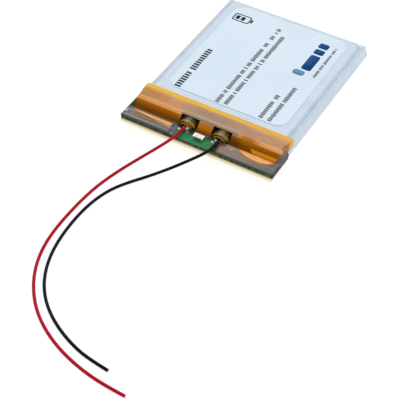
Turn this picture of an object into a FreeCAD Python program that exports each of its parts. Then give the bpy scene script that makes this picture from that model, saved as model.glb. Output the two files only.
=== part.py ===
"""Flat lithium-polymer pouch cell with a protection board and two loose leads.

Millimetres. X runs across the cell, Y along it from the lead end to the far end, Z up.
The origin is under the middle of the pack, on the surface that it lies on.
"""
import FreeCAD
import Part
import math
import os

V = FreeCAD.Vector

# ---------------------------------------------------------------- driving dimensions
TAPE = 0.08                 # polyimide tape, label film and insulating paper
LAMINATE = 0.12             # pouch foil
FIT = 0.02                  # clearance between pieces that only lie beside each other

# Cell
CELL_WIDTH = 34.0           # over the two folded side seams
CELL_HEIGHT = 4.3           # pouch alone, without tape
CUP_LENGTH = 37.7           # formed body, at the foot of its walls
CUP_DRAFT = 0.25            # each wall leans in by this much from foot to top
CUP_CORNER = 1.6            # plan radius of the formed corners
CUP_SHOULDER = 0.9          # radius between the walls and the top
TERRACE_DEPTH = 4.0         # flat front seal that the tabs pass through
SEAM_THICK = 0.28
SEAM_DROP = 0.35            # a folded seam stops this far below the cell's top
SEAM_GROOVE = 0.07          # between a folded seam and the foot of the cup's wall
SEAM_FOLD_RADIUS = 0.2
EAR_REACH = 1.25            # folded seam's bottom corner beyond the cell's far wall
EAR_TOP_SETBACK = 1.0       # and its top corner short of that wall

# Electrode winding
ELECTRODE_THICK = 0.22
SEPARATOR_THICK = 0.08
FOIL_GAP = 0.01
WINDING_SLOT = 0.25         # half height of the empty slot at the middle
WINDING_SIDE_ROOM = 0.6     # winding to cup wall
SEPARATOR_MARGIN = 0.4      # separators stand this far beyond the electrodes
WINDING_FRONT_ROOM = 1.15
WINDING_REAR_ROOM = 0.9

# Tabs and seal
TAB_WIDTH = 3.0
TAB_THICK = 0.10
TAB_OFFSET = 7.5            # tab centre from the middle of the cell
TAB_IN_SLOT = 8.0           # length that lies in the winding
SEAL_FILM = 0.08
SEAL_FILM_MARGIN = 0.8
TAB_FOLD_GAP = 0.5          # the fold stands this far in front of the terrace

# Board
BOARD_OVERHANG = 0.95       # board and tape beyond the side seams, at each end
BOARD_DEPTH = 7.05
BOARD_THICK = 0.8
BOARD_UNDERSIDE = 1.9
BOARD_TO_CUP = 0.5
NICKEL_THICK = 0.15
NICKEL_SIZE = (4.0, 2.6)
PAD_THICK = 0.06
PAD_SIZE = (2.6, 3.2)
LEAD_X = (-4.1, 3.8)        # red lead, black lead
PAD_FROM_FRONT = 2.2        # board's front edge to the pads
FUSE_SIZE = (2.3, 1.2, 0.7)
FUSE_X = -0.2
FUSE_FROM_FRONT = 1.45
FUSE_CAP = 0.4
CHIP_SIZE = (1.0, 0.5, 0.35)
CHIP_FROM_REAR = 2.85
RESISTOR_X = (-14.0, -12.4, 14.4)
CAPACITOR_X = (-10.8, 8.2)
IC_SIZE = (2.9, 1.6, 1.1)
IC_X = -12.4
MOSFET_SIZE = (4.4, 1.6, 1.0)
MOSFET_X = 11.5
CHIP_TO_REAR = 0.35         # large chips stop this far before the board's rear edge
LEG_SIZE = (0.35, 0.25, 0.2)

# Wrap
WRAP_OVER_CELL = 2.4        # tape on the cell's top
PAPER_OVER_CELL = 1.7       # insulating paper below it
HUMP_INSET = 0.1            # raised band inside the side seams
SHOULDER_FROM_REAR = 1.35   # hump's front shoulder, from the board's rear edge
SHOULDER_BEVEL = (0.75, 0.40)
HUMP_FOOT_FROM_FRONT = 3.4
WINDOW_X = (-6.1, 3.2)      # front band cut away between these
WINDOW_BACK = 3.1           # and back to this far behind the board's front edge
SLEEVE_RX = 1.9
SLEEVE_CLEAR = 0.105        # inner turn over the top of the lead
SLEEVE_STEP = (0.45, 0.27)  # each inner turn is smaller by this, in width and in height
SLEEVE_WALL = 0.12
SLEEVE_FROM_FRONT = 3.6
SLEEVE_LENGTH = 2.0
RISER_RUN = 0.8             # lower tape's slope up to the board, in plan
LIP_REACH = 0.4             # lower tape beyond the board's front edge
LIP_BEND = 0.2              # it starts to droop this far behind that edge
LIP_HEIGHT = 1.05

# Label
LABEL_WIDTH = 28.0
LABEL_LENGTH = 31.7
LABEL_CORNER = 2.6
LABEL_FROM_TAPE = 1.7

# Leads
LEAD_DIAMETER = 0.65
STRAND_DIAMETER = 0.36
STRIP_LENGTH = 1.3          # bared and tinned end at the board
LEAD_EXIT_Z = 3.38          # height of the leads where the insulation starts
SOLDER_PLAN = (1.15, 1.5)   # plan radii of a soldered joint
SOLDER_OVER = 0.06          # its top above the middle of the lead

# ---------------------------------------------------------------- stations
PACK_LENGTH = LIP_REACH + BOARD_DEPTH + BOARD_TO_CUP + CUP_LENGTH + EAR_REACH
LIP_Y = -PACK_LENGTH / 2
BOARD_Y0 = LIP_Y + LIP_REACH
BOARD_Y1 = BOARD_Y0 + BOARD_DEPTH
CUP_Y0 = BOARD_Y1 + BOARD_TO_CUP
CUP_Y1 = CUP_Y0 + CUP_LENGTH
TERRACE_Y0 = CUP_Y0 - TERRACE_DEPTH

SHEET_Z0 = TAPE
SEAL_Z = SHEET_Z0 + LAMINATE
FLANGE_Z1 = SEAL_Z + LAMINATE
CUP_TOP = SHEET_Z0 + CELL_HEIGHT
PAPER_TOP = CUP_TOP + TAPE
BOARD_TOP = BOARD_UNDERSIDE + BOARD_THICK
SEAM_TOP = CUP_TOP - SEAM_DROP

SEAM_X1 = CELL_WIDTH / 2
SEAM_X0 = SEAM_X1 - SEAM_THICK
CUP_X = SEAM_X0 - SEAM_GROOVE
BOARD_LENGTH = CELL_WIDTH + 2 * BOARD_OVERHANG
HUMP_HALF_WIDTH = SEAM_X1 - HUMP_INSET

SLOT_Z = (SEAL_Z + CUP_TOP - LAMINATE) / 2
TAB_Z = SEAL_Z + SEAL_FILM + TAB_THICK / 2
HUMP_Z1 = SEAL_Z + 2 * SEAL_FILM + TAB_THICK
TAB_FOLD_Y = TERRACE_Y0 - TAB_FOLD_GAP
TAB_END_Z = BOARD_UNDERSIDE - NICKEL_THICK - TAB_THICK / 2
SLEEVE_INSIDE = LEAD_EXIT_Z + LEAD_DIAMETER / 2 + SLEEVE_CLEAR - BOARD_TOP
SLEEVE_RZ = SLEEVE_INSIDE + SLEEVE_WALL + SLEEVE_STEP[1]


# ---------------------------------------------------------------- helpers
def box(x, y, z):
    """A block between the pairs x, y and z."""
    return Part.makeBox(x[1] - x[0], y[1] - y[0], z[1] - z[0], V(x[0], y[0], z[0]))


def block(centre_x, centre_y, z0, size):
    """A block of the given size, centred in X and Y, standing on z0."""
    dx, dy, dz = size
    return box((centre_x - dx / 2, centre_x + dx / 2), (centre_y - dy / 2, centre_y + dy / 2), (z0, z0 + dz))


def prism_x(outline, x0, x1):
    """A (y, z) outline extruded along X."""
    points = [V(x0, y, z) for y, z in outline]
    face = Part.Face(Part.makePolygon(points + points[:1]))
    return face.extrude(V(x1 - x0, 0, 0))


def offset_line(points, distance):
    """The (y, z) line moved to its left by distance, with mitred corners."""
    moved = []
    for i, (y, z) in enumerate(points):
        before = points[max(i - 1, 0)]
        after = points[min(i + 1, len(points) - 1)]
        d_in = unit(y - before[0], z - before[1]) if i else unit(after[0] - y, after[1] - z)
        d_out = unit(after[0] - y, after[1] - z) if i < len(points) - 1 else d_in
        n_in = (-d_in[1], d_in[0])
        n_out = (-d_out[1], d_out[0])
        mitre = 1 + n_in[0] * n_out[0] + n_in[1] * n_out[1]
        moved.append((y + distance * (n_in[0] + n_out[0]) / mitre, z + distance * (n_in[1] + n_out[1]) / mitre))
    return moved


def unit(a, b):
    """The pair (a, b) at length one."""
    length = math.hypot(a, b)
    return (a / length, b / length)


def ribbon(path, thick, x0, x1):
    """A bent ribbon on the right of a (y, z) path, extruded along X."""
    return prism_x(path + offset_line(path, -thick)[::-1], x0, x1)


def rounded_wire(half_x, y0, y1, radius, z):
    """A closed rounded rectangle in the plane z."""
    x = half_x
    r = radius
    s = r * (1 - math.sqrt(0.5))
    corners = [
        (V(x - r, y0, z), V(x - s, y0 + s, z), V(x, y0 + r, z)),
        (V(x, y1 - r, z), V(x - s, y1 - s, z), V(x - r, y1, z)),
        (V(-x + r, y1, z), V(-x + s, y1 - s, z), V(-x, y1 - r, z)),
        (V(-x, y0 + r, z), V(-x + s, y0 + s, z), V(-x + r, y0, z)),
    ]
    edges = []
    for i, (start, middle, end) in enumerate(corners):
        edges.append(Part.Arc(start, middle, end).toShape())
        edges.append(Part.LineSegment(end, corners[(i + 1) % 4][0]).toShape())
    return Part.Wire(edges)


def rounded_sheet(half_x, y0, y1, radius, z0, z1):
    """A flat sheet with rounded corners."""
    return Part.Face(rounded_wire(half_x, y0, y1, radius, z0)).extrude(V(0, 0, z1 - z0))


def save(name, *solids):
    """Writes one node, a single solid or a group of separate ones."""
    shape = solids[0] if len(solids) == 1 else Part.makeCompound(list(solids))
    bad = [s for s in shape.Solids if not s.isValid() or s.Volume <= 0]
    if bad or not shape.Solids:
        raise ValueError("node %s has no sound solid" % name)
    shape.exportStep("parts/%s.step" % name)
    print("%-24s %d solid(s) %10.3f mm3" % (name, len(shape.Solids), shape.Volume))


# ---------------------------------------------------------------- pouch
def cup_block(inset):
    """The drafted block of the formed cup, moved in by inset on every side but the bottom."""
    top = CUP_TOP - inset
    foot = rounded_wire(CUP_X - inset, CUP_Y0 + inset, CUP_Y1 - inset, CUP_CORNER - inset, SEAL_Z)
    lean = inset + CUP_DRAFT
    head = rounded_wire(CUP_X - lean, CUP_Y0 + lean, CUP_Y1 - lean, CUP_CORNER - inset, top)
    solid = Part.makeLoft([foot, head], True, True)
    rim = [e for e in solid.Edges if e.BoundBox.ZMin > top - FIT]
    return solid.makeFillet(CUP_SHOULDER - inset, rim)


def tab_channel(side, z1, margin):
    """The block of the terrace that one tab and its seal films run through."""
    half = TAB_WIDTH / 2 + SEAL_FILM_MARGIN + margin
    x = side * TAB_OFFSET
    return box((x - half, x + half), (TERRACE_Y0, CUP_Y0 + 2 * LAMINATE), (SEAL_Z, z1))


def make_pouch_cup():
    """Upper foil: the formed cup, its flange and the upper half of the front seal."""
    flange = box((-SEAM_X0, SEAM_X0), (TERRACE_Y0, CUP_Y1), (SEAL_Z, FLANGE_Z1))
    shell = cup_block(0).fuse(flange)
    for side in (-1, 1):
        shell = shell.fuse(tab_channel(side, HUMP_Z1 + LAMINATE, LAMINATE))
    shell = shell.cut(cup_block(LAMINATE))
    for side in (-1, 1):
        shell = shell.cut(tab_channel(side, HUMP_Z1, 0))
    return shell.removeSplitter()


def make_pouch_base_sheet():
    """Lower foil: flat, pressed up at the front so that the lower tape lies flush with its underside."""
    step_y = CUP_Y0 + WRAP_OVER_CELL + FIT
    outline = [
        (TERRACE_Y0, SHEET_Z0),
        (step_y, SHEET_Z0),
        (step_y, 0),
        (CUP_Y1, 0),
        (CUP_Y1, SEAL_Z),
        (TERRACE_Y0, SEAL_Z),
    ]
    return prism_x(outline, -SEAM_X0, SEAM_X0)


def make_side_seam(side):
    """One side seam, folded up against the cup, with its ear at the far end."""
    outline = [
        (CUP_Y0, SHEET_Z0),
        (CUP_Y1 + EAR_REACH, SHEET_Z0),
        (CUP_Y1 + EAR_REACH, SHEET_Z0 + 3 * SEAM_THICK),
        (CUP_Y1 - EAR_TOP_SETBACK, SEAM_TOP),
        (CUP_Y0, SEAM_TOP),
    ]
    seam = prism_x(outline, SEAM_X0, SEAM_X1)
    fold = [e for e in seam.Edges if e.BoundBox.ZMax < SHEET_Z0 + FIT and e.BoundBox.XMin > SEAM_X1 - FIT]
    seam = seam.makeFillet(SEAM_FOLD_RADIUS, fold)
    return seam if side > 0 else seam.mirror(V(0, 0, 0), V(1, 0, 0))


# ---------------------------------------------------------------- electrode winding
TURN = 2 * (ELECTRODE_THICK + SEPARATOR_THICK + 2 * FOIL_GAP)
WINDING_Y0 = CUP_Y0 + LAMINATE + WINDING_FRONT_ROOM
WINDING_Y1 = CUP_Y1 - LAMINATE - WINDING_REAR_ROOM
WINDING_HALF_HEIGHT = (CUP_TOP - LAMINATE - SEAL_Z) / 2 - FIT
WINDING_FLAT = CUP_X - LAMINATE - CUP_DRAFT - WINDING_SIDE_ROOM - WINDING_HALF_HEIGHT


def half_turns(outermost):
    """How many half turns of a separator that starts at this radius fit in the height of the cup."""
    room = WINDING_HALF_HEIGHT - TURN / 4 - SEPARATOR_THICK - outermost
    return max(2, 1 + int(room / (TURN / 2)))


def spiral_edges(radius, turns, sideways):
    """A flat two-centre spiral in the XZ plane, offset outwards by sideways, as edges from the inside out."""
    edges = []
    here = V(0, 0, radius + sideways)
    for k in range(turns):
        right = k % 2 == 0
        r = radius + k * TURN / 2 + sideways
        x = WINDING_FLAT if right else -WINDING_FLAT
        z = 0 if right else TURN / 2
        sign = 1 if right else -1
        start = V(x, 0, z + sign * r)
        middle = V(x + sign * r, 0, z)
        end = V(x, 0, z - sign * r)
        edges.append(Part.LineSegment(here, start).toShape())
        edges.append(Part.Arc(start, middle, end).toShape())
        here = end
    last = V(0, 0, here.z)
    edges.append(Part.LineSegment(here, last).toShape())
    return edges, V(0, 0, radius + sideways), last


def wound_strip(layer_start, thick, turns, y0, y1):
    """One foil of the winding, from y0 to y1."""
    inner, inner_a, inner_b = spiral_edges(layer_start, turns, 0)
    outer, outer_a, outer_b = spiral_edges(layer_start, turns, thick)
    ends = [Part.LineSegment(inner_b, outer_b).toShape(), Part.LineSegment(outer_a, inner_a).toShape()]
    wire = Part.Wire(Part.__sortEdges__(inner + outer + ends))
    strip = Part.Face(wire).extrude(V(0, y1 - y0, 0))
    strip.translate(V(0, y0, SLOT_Z - TURN / 4))
    return strip


def make_winding():
    """The four foils: anode, separator, cathode, separator."""
    anode_at = WINDING_SLOT
    first_at = anode_at + ELECTRODE_THICK + FOIL_GAP
    cathode_at = first_at + SEPARATOR_THICK + FOIL_GAP
    second_at = cathode_at + ELECTRODE_THICK + FOIL_GAP
    turns = half_turns(second_at)
    inner_y = (WINDING_Y0 + SEPARATOR_MARGIN, WINDING_Y1 - SEPARATOR_MARGIN)
    save("anode_strip", wound_strip(anode_at, ELECTRODE_THICK, turns + 1, *inner_y))
    save("cathode_strip", wound_strip(cathode_at, ELECTRODE_THICK, turns, *inner_y))
    save("inner_separator", wound_strip(first_at, SEPARATOR_THICK, turns, WINDING_Y0, WINDING_Y1))
    save("outer_separator", wound_strip(second_at, SEPARATOR_THICK, turns, WINDING_Y0, WINDING_Y1))


# ---------------------------------------------------------------- tabs
def make_tab(side):
    """A flat tab: out of the winding, down to the seal, through it, up and back under the board."""
    drop_y = CUP_Y0 + LAMINATE + CUP_DRAFT + WINDING_FRONT_ROOM / 2
    path = [
        (drop_y + TAB_IN_SLOT, SLOT_Z - TAB_THICK / 2),
        (drop_y - TAB_THICK / 2, SLOT_Z - TAB_THICK / 2),
        (drop_y - TAB_THICK / 2, TAB_Z - TAB_THICK / 2),
        (TAB_FOLD_Y, TAB_Z - TAB_THICK / 2),
        (TAB_FOLD_Y, TAB_END_Z + TAB_THICK / 2),
        (TAB_FOLD_Y + TAB_FOLD_GAP + NICKEL_SIZE[1], TAB_END_Z + TAB_THICK / 2),
    ]
    x = side * TAB_OFFSET
    return ribbon(path, TAB_THICK, x - TAB_WIDTH / 2, x + TAB_WIDTH / 2)


def make_seal_films(side):
    """Two sealing films, below and above the tab in the front seal."""
    x = side * TAB_OFFSET
    half = TAB_WIDTH / 2 + SEAL_FILM_MARGIN
    y = (TERRACE_Y0, CUP_Y0 + LAMINATE)
    low = box((x - half, x + half), y, (SEAL_Z, SEAL_Z + SEAL_FILM))
    high = box((x - half, x + half), y, (HUMP_Z1 - SEAL_FILM, HUMP_Z1))
    return low, high


# ---------------------------------------------------------------- board
def make_terrace_foam():
    """Foam strip between the front seal and the underside of the board."""
    low = HUMP_Z1 + LAMINATE
    high = TAB_END_Z - TAB_THICK / 2
    return box((-SEAM_X0 + 1, SEAM_X0 - 1), (TERRACE_Y0, BOARD_Y1 - CHIP_TO_REAR), (low, high))


def make_board():
    """Bare board with its green mask."""
    return rounded_sheet(BOARD_LENGTH / 2, BOARD_Y0, BOARD_Y1, 0.3, BOARD_UNDERSIDE, BOARD_TOP)


def make_nickel_strip(side):
    """Nickel strip under the board that a tab is welded to."""
    dx, dy = NICKEL_SIZE
    y = TERRACE_Y0 + dy / 2
    return block(side * TAB_OFFSET, y, BOARD_UNDERSIDE - NICKEL_THICK, (dx, dy, NICKEL_THICK))


def make_lead_pads():
    """Two copper pads for the leads."""
    dx, dy = PAD_SIZE
    y = BOARD_Y0 + PAD_FROM_FRONT + dy / 2
    return [block(x, y, BOARD_TOP, (dx, dy, PAD_THICK)) for x in LEAD_X]


def make_fuse():
    """Chip fuse: ceramic body and two end caps."""
    dx, dy, dz = FUSE_SIZE
    y = BOARD_Y0 + FUSE_FROM_FRONT + dy / 2
    body = block(FUSE_X, y, BOARD_TOP, (dx - 2 * FUSE_CAP, dy, dz))
    shift = dx / 2 - FUSE_CAP / 2
    caps = [block(FUSE_X + side * shift, y, BOARD_TOP, (FUSE_CAP, dy, dz)) for side in (-1, 1)]
    return body, caps


def make_chips(places):
    """A row of small chips under the tape."""
    y = BOARD_Y1 - CHIP_FROM_REAR
    return [block(x, y, BOARD_TOP, CHIP_SIZE) for x in places]


def make_package(x, size, per_side):
    """A moulded package, and its legs as separate solids."""
    dx, dy, dz = size
    y = BOARD_Y1 - CHIP_TO_REAR - LEG_SIZE[1] - dy / 2
    body = block(x, y, BOARD_TOP + LEG_SIZE[2] / 2, (dx, dy, dz))
    legs = []
    for side in (-1, 1):
        for k in range(per_side):
            leg_x = x + (k - (per_side - 1) / 2) * dx / per_side
            legs.append(block(leg_x, y + side * (dy + LEG_SIZE[1]) / 2, BOARD_TOP, LEG_SIZE))
    return body, legs


# ---------------------------------------------------------------- wrap
SHOULDER_Y = BOARD_Y1 - SHOULDER_FROM_REAR
HUMP_FOOT_Y = BOARD_Y0 + HUMP_FOOT_FROM_FRONT


def make_bridge_paper():
    """Insulating paper from the cell's top over the rear of the board."""
    y = (SHOULDER_Y + FIT, CUP_Y0 + PAPER_OVER_CELL)
    return box((-HUMP_HALF_WIDTH + 2 * TAPE, HUMP_HALF_WIDTH - 2 * TAPE), y, (CUP_TOP, PAPER_TOP))


def make_cover_foam():
    """Foam strip on the chips, which holds the paper and the tape up at the rear of the board."""
    low = BOARD_TOP + LEG_SIZE[2] / 2 + IC_SIZE[2]
    half = HUMP_HALF_WIDTH - 3 * TAPE
    return box((-half, half), (SHOULDER_Y + FIT, BOARD_Y1 - CHIP_TO_REAR / 2), (low, CUP_TOP))


def hump_line():
    """Underside of the upper tape, from the cell's top to the foot of the hump."""
    dy, dz = SHOULDER_BEVEL
    return [
        (CUP_Y0 + WRAP_OVER_CELL, PAPER_TOP),
        (SHOULDER_Y, PAPER_TOP),
        (SHOULDER_Y - dy, PAPER_TOP - dz),
        (HUMP_FOOT_Y, BOARD_TOP),
        (BOARD_Y0, BOARD_TOP),
    ]


def half_ellipse_prism(x, rx, rz, y0, y1):
    """Upper half of an elliptic cylinder along Y that stands on the board."""
    if rx >= rz:
        arc = Part.ArcOfEllipse(Part.Ellipse(V(0, 0, 0), rx, rz), 0, math.pi)
    else:
        arc = Part.ArcOfEllipse(Part.Ellipse(V(0, rz, 0), V(rx, 0, 0), V(0, 0, 0)), -math.pi / 2, math.pi / 2)
    wire = Part.Wire([arc.toShape(), Part.LineSegment(V(-rx, 0, 0), V(rx, 0, 0)).toShape()])
    solid = Part.Face(wire).extrude(V(0, 0, y1 - y0))
    solid.rotate(V(0, 0, 0), V(1, 0, 0), 90)
    solid.translate(V(x, y1, BOARD_TOP))
    return solid


def make_upper_tape():
    """Upper tape: flat on the cell, down over the hump to the board, open at the window and round the leads."""
    line = hump_line()
    half = HUMP_HALF_WIDTH
    tape = ribbon(line, TAPE, -half, half)
    end_outline = [(CUP_Y0 - FIT, PAPER_TOP)] + line[1:4] + [(CUP_Y0 - FIT, BOARD_TOP)]
    rim = BOARD_LENGTH / 2
    for side in (-1, 1):
        x_in = side * half
        end = prism_x(end_outline, x_in - side * TAPE, x_in)
        margin = box(sorted((x_in - side * TAPE, side * rim)), (BOARD_Y0, BOARD_Y1), (BOARD_TOP, BOARD_TOP + TAPE))
        over = box(
            sorted((x_in - side * TAPE, side * (SEAM_X1 + 6 * TAPE))),
            (CUP_Y0 + FIT, CUP_Y0 + WRAP_OVER_CELL), (PAPER_TOP, PAPER_TOP + TAPE))
        hem = box(
            sorted((side * (SEAM_X1 + 5 * TAPE), side * (SEAM_X1 + 6 * TAPE))),
            (CUP_Y0 + FIT, CUP_Y0 + WRAP_OVER_CELL), (BOARD_TOP, PAPER_TOP + TAPE))
        tape = tape.fuse([end, margin, over, hem])
    window = box(WINDOW_X, (BOARD_Y0 - 1, BOARD_Y0 + WINDOW_BACK), (BOARD_TOP - FIT, PAPER_TOP - FIT))
    tape = tape.cut(window)
    for x in LEAD_X:
        mouth = half_ellipse_prism(x, SLEEVE_RX + FIT, SLEEVE_RZ + FIT, BOARD_Y0 - 1, SHOULDER_Y + FIT)
        tape = tape.cut(mouth)
    return tape.removeSplitter()


def make_lead_sleeve(x):
    """Two turns of tape arched over one soldered joint."""
    turns = []
    for k in (0, 1):
        rx = SLEEVE_RX - k * SLEEVE_STEP[0]
        rz = SLEEVE_RZ - k * SLEEVE_STEP[1]
        y0 = BOARD_Y0 + SLEEVE_FROM_FRONT - k * SLEEVE_STEP[0]
        y1 = y0 + SLEEVE_LENGTH
        outside = half_ellipse_prism(x, rx, rz, y0, y1)
        inside = half_ellipse_prism(x, rx - SLEEVE_WALL, rz - SLEEVE_WALL, y0 - FIT, y1 + FIT)
        turns.append(outside.cut(inside))
    return turns


def make_lower_tape():
    """Lower tape: flat under the cell, up behind the tabs' fold to the board, then down to a free lip in front."""
    under_board = BOARD_UNDERSIDE - TAPE - FIT
    riser_y = TAB_FOLD_Y - TAB_THICK / 2 - FIT
    line = [
        (CUP_Y0 + WRAP_OVER_CELL, 0),
        (riser_y, 0),
        (riser_y - RISER_RUN, under_board),
        (BOARD_Y0 + LIP_BEND, under_board),
        (LIP_Y, LIP_HEIGHT),
    ]
    rim = BOARD_LENGTH / 2
    narrow = ribbon(line, TAPE, -SEAM_X1, SEAM_X1)
    wide = ribbon(line[2:], TAPE, -rim, rim)
    trimmed = box((-rim, rim), (LIP_Y - 2 * TAPE, LIP_Y), (0, BOARD_TOP))
    return narrow.fuse(wide).cut(trimmed).removeSplitter()


# ---------------------------------------------------------------- label
def make_label():
    """Thin printed film on the cell's top."""
    y0 = CUP_Y0 + WRAP_OVER_CELL + LABEL_FROM_TAPE
    return rounded_sheet(LABEL_WIDTH / 2, y0, y0 + LABEL_LENGTH, LABEL_CORNER, CUP_TOP, CUP_TOP + TAPE)


# ---------------------------------------------------------------- leads
LEAD_Z = LEAD_DIAMETER / 2

# Hand-laid routes, from the soldered end to the cut end.
RED_ROUTE = [
    (-4.05, -19.00, LEAD_EXIT_Z), (-4.05, -21.00, 3.42), (-4.30, -23.50, 3.32), (-5.25, -26.00, 2.92),
    (-6.75, -28.50, 2.12), (-8.50, -31.10, 1.10), (-9.95, -33.90, 0.48), (-11.00, -37.20, LEAD_Z),
    (-11.80, -41.00, LEAD_Z), (-12.25, -45.20, LEAD_Z), (-12.38, -49.50, LEAD_Z), (-12.30, -53.80, LEAD_Z),
    (-11.85, -58.00, LEAD_Z), (-10.80, -62.10, LEAD_Z), (-9.05, -66.00, LEAD_Z), (-6.55, -69.65, LEAD_Z),
    (-3.45, -72.85, LEAD_Z), (0.25, -75.45, LEAD_Z), (4.30, -77.45, LEAD_Z), (8.55, -78.85, LEAD_Z),
    (12.90, -79.75, LEAD_Z), (17.00, -80.12, LEAD_Z), (20.35, -80.20, LEAD_Z),
]
BLACK_ROUTE = [
    (3.75, -19.00, LEAD_EXIT_Z), (4.12, -20.90, 3.42), (4.05, -22.90, 3.38), (3.20, -25.00, 3.22),
    (1.70, -27.10, 2.72), (-0.20, -29.20, 1.92), (-2.45, -31.60, 1.08), (-4.90, -34.30, 0.46),
    (-7.15, -37.20, LEAD_Z), (-9.00, -40.50, LEAD_Z), (-10.10, -44.40, LEAD_Z), (-10.52, -48.60, LEAD_Z),
    (-10.42, -52.90, LEAD_Z), (-9.95, -57.10, LEAD_Z), (-8.95, -61.20, LEAD_Z), (-7.25, -65.20, LEAD_Z),
    (-4.75, -68.80, LEAD_Z), (-1.50, -71.75, LEAD_Z), (2.25, -74.05, LEAD_Z), (6.25, -75.75, LEAD_Z),
    (10.30, -76.85, LEAD_Z), (14.90, -77.25, LEAD_Z),
]


def route_wire(points):
    """Straight runs joined by tangent arcs, each as large as its two runs allow."""
    points = [V(*p) for p in points]
    edges = []
    radii = []
    here = points[0]
    for a, b, c in zip(points, points[1:], points[2:]):
        back = (a - b).normalize()
        ahead = (c - b).normalize()
        half_turn = (math.pi - back.getAngle(ahead)) / 2
        setback = 0.45 * min((a - b).Length, (c - b).Length)
        radius = setback / math.tan(half_turn)
        middle_way = (back + ahead).normalize()
        depth = radius / math.cos(half_turn) - radius
        start = b + back * setback
        end = b + ahead * setback
        edges.append(Part.LineSegment(here, start).toShape())
        edges.append(Part.Arc(start, b + middle_way * depth, end).toShape())
        radii.append(radius)
        here = end
    edges.append(Part.LineSegment(here, points[-1]).toShape())
    return Part.Wire(edges), radii


def make_tube(points, name):
    """The insulated part of a lead, as one round tube along its route."""
    wire, radii = route_wire(points)
    start = V(*points[0])
    along = (V(*points[1]) - start).normalize()
    section = Part.Wire(Part.makeCircle(LEAD_DIAMETER / 2, start, along))
    tube = wire.makePipeShell([section], True, False, 2)
    area = math.pi * LEAD_DIAMETER ** 2 / 4
    print("%s length %.2f mm, smallest radius %.2f mm, volume over section x length %.4f" % (
        name, wire.Length, min(radii), tube.Volume / (area * wire.Length)))
    print("   radii", " ".join("%.1f" % r for r in radii))
    return tube


def make_strands(points):
    """Bared and tinned strands between the insulation and the solder."""
    start = V(*points[0])
    back = (start - V(*points[1])).normalize()
    return Part.makeCylinder(STRAND_DIAMETER / 2, STRIP_LENGTH, start, back)


def make_solder(points, lead, strands):
    """Solder over the bared strands, with the lead's own space left out."""
    rx, ry = SOLDER_PLAN
    base = BOARD_TOP + PAD_THICK
    rz = LEAD_EXIT_Z + SOLDER_OVER - base
    start = V(*points[0])
    ball = Part.makeSphere(1.0)
    matrix = FreeCAD.Matrix()
    matrix.scale(rx, ry, rz)
    dome = ball.transformGeometry(matrix)
    dome.translate(V(start.x, start.y + STRIP_LENGTH / 3, base))
    upper = box((start.x - 2 * rx, start.x + 2 * rx), (start.y - 2 * ry, start.y + 2 * ry), (base, base + 2 * rz))
    return dome.common(upper).cut(lead).cut(strands)


# ---------------------------------------------------------------- write every node
def main():
    """Builds and writes all the nodes."""
    os.makedirs("parts", exist_ok=True)
    save("pouch_cup", make_pouch_cup())
    save("pouch_base_sheet", make_pouch_base_sheet())
    save("side_seam_right", make_side_seam(1))
    save("side_seam_left", make_side_seam(-1))
    save("label", make_label())
    make_winding()
    for name, side in (("positive", -1), ("negative", 1)):
        save(name + "_tab", make_tab(side))
        save(name + "_tab_seal", *make_seal_films(side))
        save(name + "_nickel_strip", make_nickel_strip(side))
    save("terrace_foam", make_terrace_foam())
    save("circuit_board", make_board())
    save("lead_pads", *make_lead_pads())
    fuse, caps = make_fuse()
    save("chip_fuse", fuse)
    save("chip_fuse_caps", *caps)
    save("chip_resistors", *make_chips(RESISTOR_X))
    save("chip_capacitors", *make_chips(CAPACITOR_X))
    ic, ic_legs = make_package(IC_X, IC_SIZE, 3)
    save("protection_ic", ic)
    save("protection_ic_legs", *ic_legs)
    mosfet, mosfet_legs = make_package(MOSFET_X, MOSFET_SIZE, 4)
    save("twin_mosfet", mosfet)
    save("twin_mosfet_legs", *mosfet_legs)
    save("bridge_paper", make_bridge_paper())
    save("cover_foam", make_cover_foam())
    save("upper_tape", make_upper_tape())
    save("lower_tape", make_lower_tape())
    for colour, route, x in (("red", RED_ROUTE, LEAD_X[0]), ("black", BLACK_ROUTE, LEAD_X[1])):
        lead = make_tube(route, colour + " lead")
        strands = make_strands(route)
        save(colour + "_lead", lead)
        save(colour + "_lead_strands", strands)
        save(colour + "_solder", make_solder(route, lead, strands))
        save(colour + "_lead_sleeve", *make_lead_sleeve(x))


main()
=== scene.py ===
# %% [markdown]
# # A flat lithium-polymer cell with its board and two leads
# The real thing is a soft foil pouch, a small green board taped to its front seal with amber
# polyimide tape, and a red and a black lead soldered to that board. The engineering model gives
# every size. This script dresses it: it keeps the parts whose shape is already right, replaces
# the ones that are soft, creased or printed with finer meshes, and gives each a made-up finish.

# %% Load the frame
import bpy
import bmesh
import math
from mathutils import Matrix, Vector, noise


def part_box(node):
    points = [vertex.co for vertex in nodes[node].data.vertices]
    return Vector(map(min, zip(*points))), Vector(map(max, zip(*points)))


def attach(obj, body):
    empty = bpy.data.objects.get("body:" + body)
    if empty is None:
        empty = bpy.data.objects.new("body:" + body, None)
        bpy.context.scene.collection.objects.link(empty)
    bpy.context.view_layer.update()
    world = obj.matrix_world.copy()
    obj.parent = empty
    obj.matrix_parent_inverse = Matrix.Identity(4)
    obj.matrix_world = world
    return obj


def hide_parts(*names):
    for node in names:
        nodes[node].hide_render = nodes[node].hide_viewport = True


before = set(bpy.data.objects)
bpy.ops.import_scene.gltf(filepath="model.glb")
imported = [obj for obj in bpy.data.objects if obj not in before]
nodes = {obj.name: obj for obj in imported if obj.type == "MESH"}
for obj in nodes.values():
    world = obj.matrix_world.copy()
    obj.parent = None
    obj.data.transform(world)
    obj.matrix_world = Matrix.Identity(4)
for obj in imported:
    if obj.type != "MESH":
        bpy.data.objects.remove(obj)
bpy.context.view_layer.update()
MM = 0.001

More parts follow.
